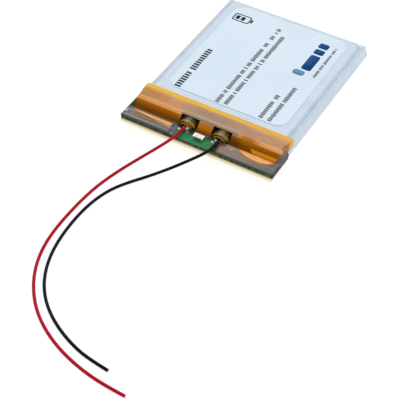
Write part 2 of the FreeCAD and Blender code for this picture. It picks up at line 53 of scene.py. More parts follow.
# %% [markdown]
# ## Camera
# A product view from the right, a little above forty-five degrees, with a long lens so that the
# sides of the cell stay nearly parallel. Aiming by azimuth and elevation round a target point is
# easier to read than a rotation, and `to_track_quat` turns the aim into one.

# %% Camera
AZIMUTH = math.radians(30.59)
ELEVATION = math.radians(46.06)
LENS = 107.2
CAMERA_DISTANCE = 234.5
TARGET = Vector((7.59, -33.67, 0.0))


def aim(azimuth, elevation):
    """Unit vector from the target towards a viewer or a light."""
    flat = math.cos(elevation)
    return Vector((math.sin(azimuth) * flat, -math.cos(azimuth) * flat, math.sin(elevation)))


def in_scene(name, data):
    """A new object, linked into the scene."""
    made = bpy.data.objects.new(name, data)
    bpy.context.scene.collection.objects.link(made)
    return made


camera_data = bpy.data.cameras.new("studio_camera")
camera_data.lens = LENS
camera_data.clip_start = 0.01
camera = in_scene("studio_camera", camera_data)
camera.location = (TARGET + CAMERA_DISTANCE * aim(AZIMUTH, ELEVATION)) * MM
camera.rotation_euler = aim(AZIMUTH, ELEVATION).to_track_quat("Z", "Y").to_euler()
bpy.context.scene.camera = camera
print("camera at", [round(c, 4) for c in camera.location])

# %% [markdown]
# ## The two leads
# A lead is a fixed length of limp wire, so its route matters more than any detail on it. One
# NURBS curve over listed control points gives a line with no kinks, and the curve's own
# round bevel makes the insulation. Order 3 keeps the line close to its points. It has to be set
# after the points are there, or the curve falls back to straight runs.

# %% Routes, in millimetres
LEAD_DIAMETER = 0.65
LEAD_Z = LEAD_DIAMETER / 2
EXIT_Z = 3.38
RED_ROUTE = [
    (-4.05, -19.00, EXIT_Z), (-4.05, -21.00, 3.42), (-4.30, -23.50, 3.32), (-5.25, -26.00, 2.92),
    (-6.75, -28.50, 2.12), (-8.50, -31.10, 1.10), (-9.95, -33.90, 0.48), (-11.00, -37.20, LEAD_Z),
    (-11.80, -41.00, LEAD_Z), (-12.25, -45.20, LEAD_Z), (-12.38, -49.50, LEAD_Z), (-12.30, -53.80, LEAD_Z),
    (-11.85, -58.00, LEAD_Z), (-10.80, -62.10, LEAD_Z), (-9.05, -66.00, LEAD_Z), (-6.55, -69.65, LEAD_Z),
    (-3.45, -72.85, LEAD_Z), (0.25, -75.45, LEAD_Z), (4.30, -77.45, LEAD_Z), (8.55, -78.85, LEAD_Z),
    (12.90, -79.75, LEAD_Z), (17.00, -80.12, LEAD_Z), (20.35, -80.20, LEAD_Z),
]
BLACK_ROUTE = [
    (3.75, -19.00, EXIT_Z), (4.12, -20.90, 3.42), (4.05, -22.90, 3.38), (3.20, -25.00, 3.22),
    (1.70, -27.10, 2.72), (-0.20, -29.20, 1.92), (-2.45, -31.60, 1.08), (-4.90, -34.30, 0.46),
    (-7.15, -37.20, LEAD_Z), (-9.00, -40.50, LEAD_Z), (-10.10, -44.40, LEAD_Z), (-10.52, -48.60, LEAD_Z),
    (-10.42, -52.90, LEAD_Z), (-9.95, -57.10, LEAD_Z), (-8.95, -61.20, LEAD_Z), (-7.25, -65.20, LEAD_Z),
    (-4.75, -68.80, LEAD_Z), (-1.50, -71.75, LEAD_Z), (2.25, -74.05, LEAD_Z), (6.25, -75.75, LEAD_Z),
    (10.30, -76.85, LEAD_Z), (14.90, -77.25, LEAD_Z),
]
ROUTES = {"red": RED_ROUTE, "black": BLACK_ROUTE}


# %% Lead curves
def lead_curve(name, route):
    """One open NURBS spline, with no section yet."""
    data = bpy.data.curves.new(name, "CURVE")
    data.dimensions = "3D"
    spline = data.splines.new("NURBS")
    spline.points.add(len(route) - 1)
    for point, (x, y, z) in zip(spline.points, route):
        point.co = (x * MM, y * MM, z * MM, 1)
    spline.order_u = 3
    spline.use_endpoint_u = True
    data.resolution_u = 14
    return in_scene(name, data)


def centre_line(lead):
    """The points of a curve that has no bevel yet."""
    line = bpy.data.meshes.new_from_object(lead)
    points = [v.co.copy() for v in line.vertices]
    bpy.data.meshes.remove(line)
    return points


def round_section(lead):
    """Gives the line its insulation, closed at both ends."""
    lead.data.bevel_depth = LEAD_DIAMETER / 2 * MM
    lead.data.bevel_resolution = 6
    lead.data.use_fill_caps = True


leads = {colour: lead_curve(colour + "_insulated_lead", route) for colour, route in ROUTES.items()}
lines = {colour: centre_line(lead) for colour, lead in leads.items()}
for colour, line in lines.items():
    round_section(leads[colour])
    run = sum((b - a).length for a, b in zip(line, line[1:]))
    print(colour, "lead", round(run / MM, 2), "mm")

# %% [markdown]
# ## Helpers for finishes
# Every finish is a small node tree. A few helpers keep them short: one starts a material, one
# adds a node with its settings and inputs in a single call, and the rest wrap the nodes that
# come up again and again. An input may be a number, a colour or another node's output.

# %% Node helpers
def new_finish(name, roughness=0.5, metallic=0.0, ior=1.5):
    """A new material with its tree and its Principled shader."""
    material = bpy.data.materials.new(name)
    material.use_nodes = True
    shader = material.node_tree.nodes["Principled BSDF"]
    shader.inputs["Roughness"].default_value = roughness
    shader.inputs["Metallic"].default_value = metallic
    shader.inputs["IOR"].default_value = ior
    return material, material.node_tree, shader


def add(tree, kind, inputs=None, **settings):
    """A node with its settings and inputs."""
    made = tree.nodes.new(kind)
    for key, value in settings.items():
        setattr(made, key, value)
    for key, value in (inputs or {}).items():
        if isinstance(value, bpy.types.NodeSocket):
            tree.links.new(value, made.inputs[key])
        else:
            made.inputs[key].default_value = value
    return made

def connect(tree, shader, colour, roughness=None, normal=None):
    """Feeds the shader's colour, and where they are given its roughness and normal."""
    for name, source in (("Base Color", colour), ("Roughness", roughness), ("Normal", normal)):
        if source is not None:
            tree.links.new(source, shader.inputs[name])


def maths(tree, operation, *values):
    """One sum or comparison."""
    return add(tree, "ShaderNodeMath", dict(enumerate(values)), operation=operation).outputs[0]


def blend(tree, amount, low, high, **settings):
    """A colour between two others."""
    return add(tree, "ShaderNodeMix", {0: amount, 6: low, 7: high}, data_type="RGBA", **settings).outputs[2]


def remap(tree, value, start, stop, low=0.0, high=1.0):
    """A number that goes from low to high while the value goes from start to stop."""
    return add(tree, "ShaderNodeMapRange", {
        "Value": value, "From Min": start, "From Max": stop, "To Min": low, "To Max": high}).outputs["Result"]


# %% Grain, colour and relief
def grain(tree, size, stretch=(1, 1, 1), detail=3.0):
    """Noise on Object coordinates, with features about `size` millimetres across."""
    place = add(tree, "ShaderNodeTexCoord").outputs["Object"]
    mapped = add(tree, "ShaderNodeMapping", {"Vector": place, "Scale": stretch})
    cloud = add(tree, "ShaderNodeTexNoise", {
        "Vector": mapped.outputs["Vector"], "Scale": 1 / (size * MM), "Detail": detail})
    return cloud.outputs["Fac"]


def between(tree, amount, low, high, start=0.3, stop=0.7):
    """A colour ramp from low to high."""
    ramp = add(tree, "ShaderNodeValToRGB", {"Fac": amount})
    ramp.color_ramp.elements[0].position = start
    ramp.color_ramp.elements[0].color = (*low, 1)
    ramp.color_ramp.elements[1].position = stop
    ramp.color_ramp.elements[1].color = (*high, 1)
    return ramp.outputs["Color"]


def spread(tree, amount, low, high):
    """A number from low to high, over the range that a cloud mostly fills."""
    return remap(tree, amount, 0.25, 0.75, low, high)


def relief(tree, height, depth, strength=1.0):
    """A bump of `depth` millimetres."""
    return add(tree, "ShaderNodeBump", {
        "Height": height, "Distance": depth * MM, "Strength": strength}).outputs["Normal"]


def upright(tree):
    """How far the surface's own normal points up: 1 on top, 0 at the sides."""
    normal = add(tree, "ShaderNodeNewGeometry").outputs["Normal"]
    return add(tree, "ShaderNodeSeparateXYZ", {0: normal}).outputs["Z"]


# %% [markdown]
# ## Plain finishes for the inner parts
# The winding, tabs, foam and chips are mostly hidden, but they show in section views and from
# low angles. They all follow one recipe: two close colours mixed by grain, a roughness that
# wanders with it, and a shallow bump. Only the numbers change, so a table holds them.

# %% Grained finish
ROUGHNESS_SWING = 0.08


def grained_finish(name, dark, light, size, roughness, metallic=0.0, depth=0.01, stretch=(1, 1, 1)):
    """Two close colours, wandering roughness and a shallow bump."""
    material, tree, shader = new_finish(name, metallic=metallic)
    cloud = grain(tree, size, stretch)
    rough = spread(tree, cloud, roughness - ROUGHNESS_SWING, roughness + ROUGHNESS_SWING)
    connect(tree, shader, between(tree, cloud, dark, light), rough, relief(tree, cloud, depth))
    return material


def dress(node, material):
    """Gives a CAD node a better material."""
    for place in nodes[node].material_slots:
        place.material = material


# %% Dress the parts that keep their own shape: name, dark, light, grain, roughness, rest, nodes
INNER_FINISHES = [
    ("graphite_coat", (0.012, 0.012, 0.014), (0.035, 0.035, 0.04), 0.12, 0.7, {}, "anode_strip"),
    ("oxide_coat", (0.02, 0.018, 0.016), (0.06, 0.055, 0.05), 0.12, 0.62, {}, "cathode_strip"),
    ("separator_film", (0.72, 0.73, 0.74), (0.85, 0.86, 0.87), 0.4, 0.4,
     {}, "inner_separator outer_separator"),
    ("rolled_aluminium", (0.62, 0.63, 0.65), (0.8, 0.81, 0.83), 0.3, 0.3,
     {"metallic": 1.0, "stretch": (1, 0.06, 1)}, "positive_tab"),
    ("rolled_nickel", (0.5, 0.48, 0.44), (0.68, 0.66, 0.61), 0.3, 0.32,
     {"metallic": 1.0, "stretch": (0.06, 1, 1)}, "negative_tab positive_nickel_strip negative_nickel_strip"),
    ("seal_film", (0.62, 0.6, 0.52), (0.74, 0.72, 0.64), 0.5, 0.35,
     {}, "positive_tab_seal negative_tab_seal"),
    ("grey_foam", (0.02, 0.02, 0.022), (0.06, 0.06, 0.065), 0.15, 0.9,
     {"depth": 0.06}, "terrace_foam cover_foam"),
    ("barley_paper", (0.32, 0.25, 0.12), (0.42, 0.34, 0.18), 0.2, 0.75,
     {"stretch": (0.3, 1, 1)}, "bridge_paper"),
    ("tinned_pads", (0.20, 0.19, 0.16), (0.42, 0.41, 0.40), 0.25, 0.35, {"metallic": 0.8}, "lead_pads"),
    ("chip_ceramic", (0.3, 0.24, 0.16), (0.4, 0.33, 0.24), 0.1, 0.5, {}, "chip_capacitors"),
    ("moulded_epoxy", (0.012, 0.012, 0.013), (0.03, 0.03, 0.032), 0.06, 0.55, {},
     "protection_ic twin_mosfet chip_resistors"),
    ("tinned_strand", (0.62, 0.62, 0.64), (0.85, 0.85, 0.87), 0.15, 0.25,
     {"metallic": 1.0, "stretch": (1, 0.2, 1)},
     "protection_ic_legs twin_mosfet_legs red_lead_strands black_lead_strands"),
]
finishes = {}
for name, dark, light, size, roughness, rest, members in INNER_FINISHES:
    finishes[name] = grained_finish(name, dark, light, size, roughness, **rest)
    for member in members.split():
        dress(member, finishes[name])
print("inner finishes:", len(finishes))

# %% [markdown]
# ## Mesh helpers
# Most pieces here are thin sheets, so one helper does most of the work: it lays a grid of points
# through a placing function, leaves out the cells that are cut away, and gives the sheet a
# thickness with Solidify. The modifier is then applied, so the piece is a plain closed mesh.

# %% Pieces from meshes
def as_piece(name, mesh, material):
    """An object for a finished mesh, with smooth shading."""
    mesh.materials.append(material)
    mesh.shade_smooth()
    return in_scene(name, mesh)


def built_piece(name, built, material):
    """An object for a finished bmesh."""
    mesh = bpy.data.meshes.new(name)
    built.to_mesh(mesh)
    built.free()
    return as_piece(name, mesh, material)


def report(label, *pieces):
    """Prints how many faces each piece has."""
    print(label, [len(piece.data.polygons) for piece in pieces])


def joined(name, shells):
    """Several pieces as one, at the origin."""
    built = bmesh.new()
    for shell in shells:
        built.from_mesh(shell.data)
    piece = built_piece(name, built, shells[0].data.materials[0])
    for shell in shells:
        bpy.data.objects.remove(shell)
    return piece


def bridge(built, rows):
    """Faces between closed rows of points."""
    for low, high in zip(rows, rows[1:]):
        for k in range(len(low)):
            n = (k + 1) % len(low)
            built.faces.new((low[k], low[n], high[n], high[k]))


# %% Grid and thickness
def apply_modifiers(piece):
    """Turns the modified shape into the piece's own mesh."""
    graph = bpy.context.evaluated_depsgraph_get()
    shaped = bpy.data.meshes.new_from_object(
        piece.evaluated_get(graph), preserve_all_data_layers=True, depsgraph=graph)
    piece.modifiers.clear()
    piece.data = shaped


def thicken(piece, thickness):
    """A wall of this many millimetres behind the sheet."""
    wall = piece.modifiers.new("wall", "SOLIDIFY")
    wall.thickness = thickness * MM
    wall.offset = -1.0
    apply_modifiers(piece)


def sheet_mesh(name, columns, rows, place, keep=None):
    """A grid of len(columns) x len(rows) points, without the cells that `keep` refuses."""
    mesh = bpy.data.meshes.new(name)
    points = [[c * MM for c in place(u, v)] for v in rows for u in columns]
    across = len(columns)
    faces = []
    for j in range(len(rows) - 1):
        for i in range(across - 1):
            if keep is None or keep(columns[i], columns[i + 1], rows[j], rows[j + 1]):
                a = j * across + i
                faces.append((a, a + 1, a + 1 + across, a + across))
    mesh.from_pydata(points, [], faces)
    built = bmesh.new()
    built.from_mesh(mesh)
    bmesh.ops.delete(built, geom=[v for v in built.verts if not v.link_faces], context="VERTS")
    built.to_mesh(mesh)
    built.free()
    return mesh

# %% Ramps, bends and colours
def stations(*stretches):
    """Evenly spaced values through stretches of (start, stop, steps), each end once."""
    values = []
    for start, stop, steps in stretches:
        values += [start + (stop - start) * k / steps for k in range(steps)]
    return values + [stretches[-1][1]]


def smooth(edge0, edge1, value):
    """0 below edge0, 1 above edge1 and a smooth step between."""
    t = min(max((value - edge0) / (edge1 - edge0), 0), 1)
    return t * t * (3 - 2 * t)


def fade(edge0, edge1, value):
    """The same step downwards, from 1 to 0."""
    return 1 - smooth(edge0, edge1, value)


def cloud_at(x, y, z):
    """Smooth noise at a place, from about -1 to 1."""
    return noise.noise(Vector((x, y, z)))


def bent(line, at, reach):
    """Height of a line of straight runs at a place, its bends rounded over twice `reach`."""
    total = 0
    for k in range(5):
        place = min(max(at + reach * (k - 2), line[0][0]), line[-1][0])
        for (y0, z0), (y1, z1) in zip(line, line[1:]):
            if y0 <= place <= y1:
                total += z0 + (z1 - z0) * (place - y0) / (y1 - y0)
                break
    return total / 5


def mix(a, b, t):
    """Between two colours."""
    return tuple(p + (q - p) * t for p, q in zip(a, b))


def layered(colour, *layers):
    """A colour with others laid over it, each as far as its own amount."""
    for over, amount in layers:
        colour = mix(colour, over, amount)
    return colour


def tint(piece, colour_at, matt_at=None):
    """Stores a colour, and how matt it is, on every point, from its place in millimetres."""
    colours = piece.data.color_attributes.new("tint", "FLOAT_COLOR", "POINT")
    for vertex, entry in zip(piece.data.vertices, colours.data):
        entry.color = (*colour_at(*(vertex.co / MM)), 1)
    if matt_at:
        matts = piece.data.attributes.new("matt", "FLOAT", "POINT")
        for vertex, entry in zip(piece.data.vertices, matts.data):
            entry.value = matt_at(*(vertex.co / MM))


def film_sheet(name, material, columns, rows, place, wall, colour_at, matt_at=None, keep=None):
    """A sheet with a wall, whose colour is stored on its points."""
    piece = as_piece(name, sheet_mesh(name, columns, rows, place, keep), material)
    thicken(piece, wall)
    tint(piece, colour_at, matt_at)
    return piece


def box_mm(node):
    """A CAD node's box in millimetres."""
    low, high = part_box(node)
    return low / MM, high / MM


# %% [markdown]
# ## The pouch
# The pouch is one sheet of aluminium laminate, pressed into a flat cup and sealed round its rim.
# Its walls lean, its shoulder is round, and the foil puckers a little where it had to gather at
# the corners. Rings of points, from the flange inwards and up, follow those rules exactly, and a
# grid closes the top. Sculpting could do it too, but would drift from the drawn sizes.

# %% Foil finish
def foil_finish():
    """Satin laminate, with faint rolling marks and soft dents."""
    material, tree, shader = new_finish("pouch_laminate", roughness=0.42, metallic=0.08)
    rolled = grain(tree, 0.5, (1, 0.08, 1))
    dents = grain(tree, 4.0, detail=1.5)
    tone = maths(tree, "MULTIPLY", rolled, dents)
    colour = between(tree, tone, (0.55, 0.64, 0.75), (0.63, 0.72, 0.82), 0.1, 0.4)
    connect(tree, shader, colour, spread(tree, rolled, 0.36, 0.5), relief(tree, dents, 0.10, 0.5))
    return material


FOIL = foil_finish()
dress("pouch_base_sheet", FOIL)

# %% Rings of the pouch
FOIL_WALL = 0.12
CUP_FOOT_X = 16.65
CUP_Y = (-15.5, 22.2)
TERRACE_FRONT = -19.5
FLANGE_TOP = 0.32
CUP_TOP = 4.38
CUP_DRAFT = 0.25
CORNER = 1.6
SHOULDER = 0.9
ALONG_X = 72
ALONG_Y = 84
ROUND_CORNER = 14

FLANGE_STEPS = 14
WALL_STEPS = 8
SHOULDER_STEPS = 9
TOP_STEPS = 5
TOP_STEP = 0.35
TOP_CORNER = 0.45
FLANGE_CORNER = 0.3
FLANGE_REACH = 0.07
PUCKER_DEPTH = 0.14
PUCKER_REACH = 5.0
SAME_POINT = 1e-6

def ring(half_x, y0, y1, radius):
    """A rounded rectangle with the same number of points whatever its size."""
    points = []
    corners = [(half_x, y0, -90), (half_x, y1, 0), (-half_x, y1, 90), (-half_x, y0, 180)]
    starts = [(-half_x + radius, y0), (half_x, y0 + radius), (half_x - radius, y1), (-half_x, y1 - radius)]
    for k, (corner_x, corner_y, angle) in enumerate(corners):
        steps = ALONG_X if k % 2 == 0 else ALONG_Y
        centre_x = corner_x - math.copysign(radius, corner_x)
        centre_y = corner_y - radius if corner_y == y1 else corner_y + radius
        first = math.radians(angle)
        end = (centre_x + radius * math.cos(first), centre_y + radius * math.sin(first))
        start = starts[k]
        for s in range(steps):
            t = s / steps
            points.append((start[0] + (end[0] - start[0]) * t, start[1] + (end[1] - start[1]) * t))
        for s in range(ROUND_CORNER):
            turn = first + math.pi / 2 * s / ROUND_CORNER
            points.append((centre_x + radius * math.cos(turn), centre_y + radius * math.sin(turn)))
    return points

# %% Heights of the pouch
TAB_X = 7.5
TAB_HALF = 2.42
TAB_RISE = 0.26


def terrace_z(x, y):
    """The flange, raised where a tab and its seal film run through it."""
    rise = 0
    for side in (-1, 1):
        off = abs(x - side * TAB_X)
        rise = max(rise, 1 - smooth(TAB_HALF - 0.1, TAB_HALF + 0.35, off))
    return FLANGE_TOP + TAB_RISE * rise * (1 - smooth(CUP_Y[1] - 30, CUP_Y[1] - 20, y))


def pucker(x, y, z):
    """How far the foil leans in or out where it gathers at a corner of the cup."""
    nearest_y = CUP_Y[0] if y < 3 else CUP_Y[1]
    reach = math.hypot(abs(x) - CUP_FOOT_X + 1.0, y - nearest_y + math.copysign(1.0, nearest_y))
    return PUCKER_DEPTH * fade(1.0, PUCKER_REACH, reach) * cloud_at(x * 0.9, y * 0.9, z * 0.5)


def top_z(x, y):
    """The top of the cup: flat under the label, softly sunk towards the shoulder."""
    edge = min(CUP_FOOT_X - abs(x), y - CUP_Y[0], CUP_Y[1] - y)
    sink = 0.05 * fade(1.2, 2.6, edge) * smooth(0.9, 1.3, edge)
    return CUP_TOP - sink - 0.03 * (1 + cloud_at(x * 0.16, y * 0.16, 3.1)) / 2


# %% Rings of the flange, the wall, the shoulder and the top
def pouch_rings():
    """Rings of (x, y, z), from the flange's rim to the start of the flat top."""
    flange = (CUP_FOOT_X + FLANGE_REACH, TERRACE_FRONT, CUP_Y[1], FLANGE_CORNER)
    foot = (CUP_FOOT_X, CUP_Y[0], CUP_Y[1] - FLANGE_REACH, CORNER)
    rings = []
    for s in range(FLANGE_STEPS + 1):
        shape = [a + (b - a) * s / FLANGE_STEPS for a, b in zip(flange, foot)]
        rings.append([(x, y, terrace_z(x, y)) for x, y in ring(*shape)])

    def inset_ring(inset, radius):
        return ring(foot[0] - inset, foot[1] + inset, foot[2] - inset, radius)

    for s in range(1, WALL_STEPS):
        inset = CUP_DRAFT * s / WALL_STEPS
        z = FLANGE_TOP + (CUP_TOP - SHOULDER - FLANGE_TOP) * s / WALL_STEPS
        rings.append([(x, y, z) for x, y in inset_ring(inset, CORNER - inset)])
    for s in range(SHOULDER_STEPS + 1):
        turn = math.pi / 2 * s / SHOULDER_STEPS
        inset = 1 - math.cos(turn)
        z = CUP_TOP - SHOULDER + SHOULDER * math.sin(turn)
        points = inset_ring(CUP_DRAFT + SHOULDER * inset, CORNER - CUP_DRAFT - (SHOULDER - 0.1) * inset)
        rings.append([(x, y, z) for x, y in points])
    for s in range(1, TOP_STEPS + 1):
        points = inset_ring(CUP_DRAFT + SHOULDER + TOP_STEP * s, TOP_CORNER * (1 - s / TOP_STEPS))
        rings.append([(x, y, top_z(x, y)) for x, y in points])
    return rings


# %% Build the pouch
def close_top(built, rim):
    """Fills the last, square-cornered ring with a grid of its own spacing."""
    span_x = ALONG_X + ROUND_CORNER
    span_y = ALONG_Y + ROUND_CORNER
    left_start = 2 * span_x + span_y
    front = rim[:ALONG_X + 1]
    right = rim[span_x:span_x + ALONG_Y + 1]
    back = rim[span_x + span_y:span_x + span_y + ALONG_X + 1][::-1]
    left = rim[left_start:left_start + ALONG_Y + 1][::-1]
    grid = [front]
    for j in range(1, ALONG_Y):
        row = [left[j]]
        for i in range(1, ALONG_X):
            x = front[i].co.x
            y = left[j].co.y
            row.append(built.verts.new((x, y, top_z(x / MM, y / MM) * MM)))
        grid.append(row + [right[j]])
    grid.append(back)
    for low, high in zip(grid, grid[1:]):
        for i in range(ALONG_X):
            built.faces.new((low[i], low[i + 1], high[i + 1], high[i]))


def build_pouch():
    """The formed foil as one closed shell."""
    built = bmesh.new()
    rows = []
    for loop in pouch_rings():
        row = []
        for x, y, z in loop:
            lean = pucker(x, y, z) * smooth(FLANGE_TOP, 1.5, z)
            row.append(built.verts.new(Vector((x - math.copysign(lean, x), y, z)) * MM))
        rows.append(row)
    bridge(built, rows)
    close_top(built, rows[-1])
    bmesh.ops.remove_doubles(built, verts=built.verts, dist=SAME_POINT)
    pouch = built_piece("formed_pouch", built, FOIL)
    thicken(pouch, FOIL_WALL)
    return pouch


pouch = build_pouch()
report("pouch", pouch)

# %% [markdown]
# ## The side seams
# Each side of the pouch ends in a sealed flange that is folded over and up against the cup's
# wall. Its top edge is a fat rolled bead with a fine groove between the plies, and it leans on
# the cup's shoulder. A section is swept along the cell: its height drops at the far end, where
# the fold runs out in a pointed ear, and a slow waver keeps it from looking machined.

# %% Side seams
SEAM_FOOT = 0.08
SEAM_TOP = 4.03
EAR_TIP = (23.45, 0.92)
EAR_START = 21.85
SEAM_SECTION = [
    (16.74, 0.0), (16.88, 0.0), (16.96, 0.012), (17.0, 0.04), (17.0, 0.3), (17.0, 0.6), (17.0, 0.85),
    (16.98, 0.94), (16.93, 0.98), (16.85, 1.0), (16.76, 1.003), (16.69, 0.995), (16.64, 0.982),
    (16.58, 0.99), (16.50, 0.99), (16.40, 0.983), (16.34, 0.976), (16.31, 0.968), (16.30, 0.955),
    (16.40, 0.87), (16.50, 0.75), (16.62, 0.5), (16.70, 0.2),
]
SEAM_GROOVE_X = 16.64
SEAM_INNER_X = 16.30
WEB_SHARE = 0.7
SEAM_WAVER = 0.07
SEAM_LEAN = 0.05
FINE_ROWS_FROM = EAR_START - 1.5


def seam_height(y):
    """Top of the folded seam: level, a little wavy, then down to the ear's tip."""
    level = SEAM_TOP - SEAM_WAVER * (1 + cloud_at(y * 0.22, 5.0, 0)) / 2
    fall = (y - EAR_START) / (EAR_TIP[0] - EAR_START)
    return level if fall < 0 else level + (EAR_TIP[1] - level) * fall


def corner_web(y):
    """How far the foil reaches in from the seam to the cup's rounded far corner."""
    into_corner = min(max(y - CUP_Y[1] + CORNER, 0), 0.9 * CORNER)
    gap = CORNER - math.sqrt(CORNER ** 2 - into_corner ** 2)
    return WEB_SHARE * gap * fade(CUP_Y[1] - 0.1, CUP_Y[1] + 0.3, y)


def build_seam(side):
    """One folded seam, closed at both ends."""
    built = bmesh.new()
    rows = []
    for y in stations((CUP_Y[0], FINE_ROWS_FROM, 90), (FINE_ROWS_FROM, EAR_TIP[0], 40)):
        height = seam_height(y)
        lean = SEAM_LEAN * cloud_at(y * 0.17, 9.0 * side, 0)
        row = []
        for out, up in SEAM_SECTION:
            z = SEAM_FOOT + (height - SEAM_FOOT) * up
            reach = max(0, SEAM_GROOVE_X - out) / (SEAM_GROOVE_X - SEAM_INNER_X)
            x = out + lean * up * (1 - up) * 2 - corner_web(y) * reach
            row.append(built.verts.new(Vector((side * x, y, z)) * MM))
        rows.append(row)
    bridge(built, rows)
    built.faces.new(rows[0])
    built.faces.new(rows[-1])
    bmesh.ops.recalc_face_normals(built, faces=built.faces)
    return built_piece("folded_seam_right" if side > 0 else "folded_seam_left", built, FOIL)


seams = {side: build_seam(side) for side in (1, -1)}
report("seams", *seams.values())

# %% [markdown]
# ## The label
# A thin printed film with round corners. Its own CAD shape is right, so it keeps it and gets a
# satin finish. The print is raised by a hair so that it is real geometry: rows of plain blocks
# stand where lines of text would be, and two simple marks fill the places of the symbols.

# %% Label film
def label_finish():
    """Satin white film, faintly blue, with a fine tooth."""
    material, tree, shader = new_finish("label_film", roughness=0.42)
    tooth = grain(tree, 0.3)
    cloud = grain(tree, 9.0, detail=1.0)
    colour = between(tree, cloud, (0.70, 0.82, 0.94), (0.74, 0.86, 0.97))
    connect(tree, shader, colour, spread(tree, tooth, 0.38, 0.48), relief(tree, tooth, 0.004))
    return material


dress("label", label_finish())
label_low, label_high = box_mm("label")
INK_Z = label_high.z
print("label:", [round(c, 2) for c in label_low], [round(c, 2) for c in label_high])


# %% Inks
INK_THICK = 0.012


def ink(name, dark, light):
    """Printed ink that thins out a little in places."""
    material, tree, shader = new_finish(name, roughness=0.55)
    shader.inputs["Specular IOR Level"].default_value = 0.2
    connect(tree, shader, between(tree, grain(tree, 0.25), dark, light, 0.35, 0.75))
    return material


BLACK_INK = ink("black_ink", (0.004, 0.005, 0.008), (0.025, 0.03, 0.045))
BLUE_INK = ink("blue_ink", (0.0, 0.055, 0.24), (0.001, 0.085, 0.31))
PALE_BLUE_INK = ink("pale_blue_ink", (0.08, 0.30, 0.50), (0.16, 0.42, 0.62))

# %% [markdown]
# ### Rows of print with Geometry Nodes
# A row is one block repeated along a line, so it suits Geometry Nodes: a Mesh Line gives the
# places, a seeded random choice drops some of them to leave word gaps, and each instance takes
# its own height. Realize Instances and Set Material end the tree, because instances and
# materials that exist only on them don't survive an export.

# %% Geometry Nodes helpers
def start_tree(name, **inputs):
    """A tree with these inputs and a geometry output, and the sockets that the inputs come from."""
    tree = bpy.data.node_groups.new(name, "GeometryNodeTree")
    for label, kind in inputs.items():
        tree.interface.new_socket(label, in_out="INPUT", socket_type="NodeSocket" + kind)
    tree.interface.new_socket("Geometry", in_out="OUTPUT", socket_type="NodeSocketGeometry")
    return tree, add(tree, "NodeGroupInput").outputs


def end_tree(tree, geometry, material):
    """Sets the material and hands the geometry out."""
    inked = add(tree, "GeometryNodeSetMaterial", {"Geometry": geometry, "Material": material}).outputs[0]
    tree.links.new(inked, add(tree, "NodeGroupOutput").inputs[0])
    return tree


def realized(tree, points, instance, **inputs):
    """Instances on points, made real."""
    placed = add(tree, "GeometryNodeInstanceOnPoints", {"Points": points, "Instance": instance, **inputs})
    return add(tree, "GeometryNodeRealizeInstances", {0: placed.outputs[0]}).outputs[0]


def grown(name, tree, **values):
    """The mesh that a Geometry Nodes tree makes from these named inputs."""
    carrier = in_scene(name, bpy.data.meshes.new(name))
    growth = carrier.modifiers.new("growth", "NODES")
    growth.node_group = tree
    for item in tree.interface.items_tree:
        if item.in_out == "INPUT" and item.name in values:
            growth[item.identifier] = values[item.name]
    apply_modifiers(carrier)
    return carrier


# %% The row tree
WORD_GAP_SHARE = 0.13
LOWEST_BLOCK = 0.74


def print_row_tree():
    """Blocks along +Y, with inputs for start, pitch, count, block size and seed."""
    tree, given = start_tree("print_row", Start="Vector", Pitch="Float", Count="Int", Height="Float",
                             Stroke="Float", Seed="Int", Ink="Material")
    seed = given["Seed"]
    step = add(tree, "ShaderNodeCombineXYZ", {"Y": given["Pitch"]}).outputs[0]
    line = add(tree, "GeometryNodeMeshLine", {
        "Count": given["Count"], "Start Location": given["Start"], "Offset": step}).outputs[0]
    gap = add(tree, "FunctionNodeRandomValue", {"Probability": WORD_GAP_SHARE, "Seed": seed},
              data_type="BOOLEAN")
    words = add(tree, "GeometryNodeDeleteGeometry", {0: line, 1: gap.outputs[3]}).outputs[0]
    tall = add(tree, "FunctionNodeRandomValue", {2: LOWEST_BLOCK, 3: 1.0, "Seed": seed}, data_type="FLOAT")
    size = add(tree, "ShaderNodeCombineXYZ", {
        "X": given["Height"], "Y": given["Stroke"], "Z": INK_THICK * MM})
    block = add(tree, "GeometryNodeMeshCube", {"Size": size.outputs[0]}).outputs[0]
    shape = add(tree, "ShaderNodeCombineXYZ", {"X": tall.outputs[1], "Y": 1.0, "Z": 1.0}).outputs[0]
    return end_tree(tree, realized(tree, words, block, Scale=shape), given["Ink"])


# %% Print the rows: name, x, first y, last y, height, pitch
ROW_TREE = print_row_tree()
STROKE_SHARE = 0.66
PRINT_ROWS = [
    ("print_side_row", -11.45, -10.8, 3.4, 1.55, 0.80),
    ("print_long_row_a", -1.75, -11.0, 17.2, 1.05, 0.48),
    ("print_long_row_b", 0.2, -10.7, 14.8, 1.05, 0.48),
    ("print_short_row_a", 8.4, -10.7, -2.7, 1.05, 0.48),
    ("print_short_row_b", 10.45, -10.7, 0.9, 1.05, 0.48),
    ("print_small_row", 12.15, 6.2, 17.3, 0.68, 0.36),
]
prints = []
for seed, (name, x, y0, y1, height, pitch) in enumerate(PRINT_ROWS, start=3):
    count = int((y1 - y0) / pitch) + 1
    prints.append(grown(
        name, ROW_TREE, Start=(x * MM, y0 * MM, INK_Z * MM), Pitch=pitch * MM, Count=count,
        Height=height * MM, Stroke=STROKE_SHARE * pitch * MM, Seed=seed, Ink=BLACK_INK))
    report(name, prints[-1])

# %% [markdown]
# ### Two plain marks
# Three blue bars with a paler chip at their foot, and a small outline of a cell. Both are flat
# plates with round corners, so one helper makes an outline and another stands it up by a hair.

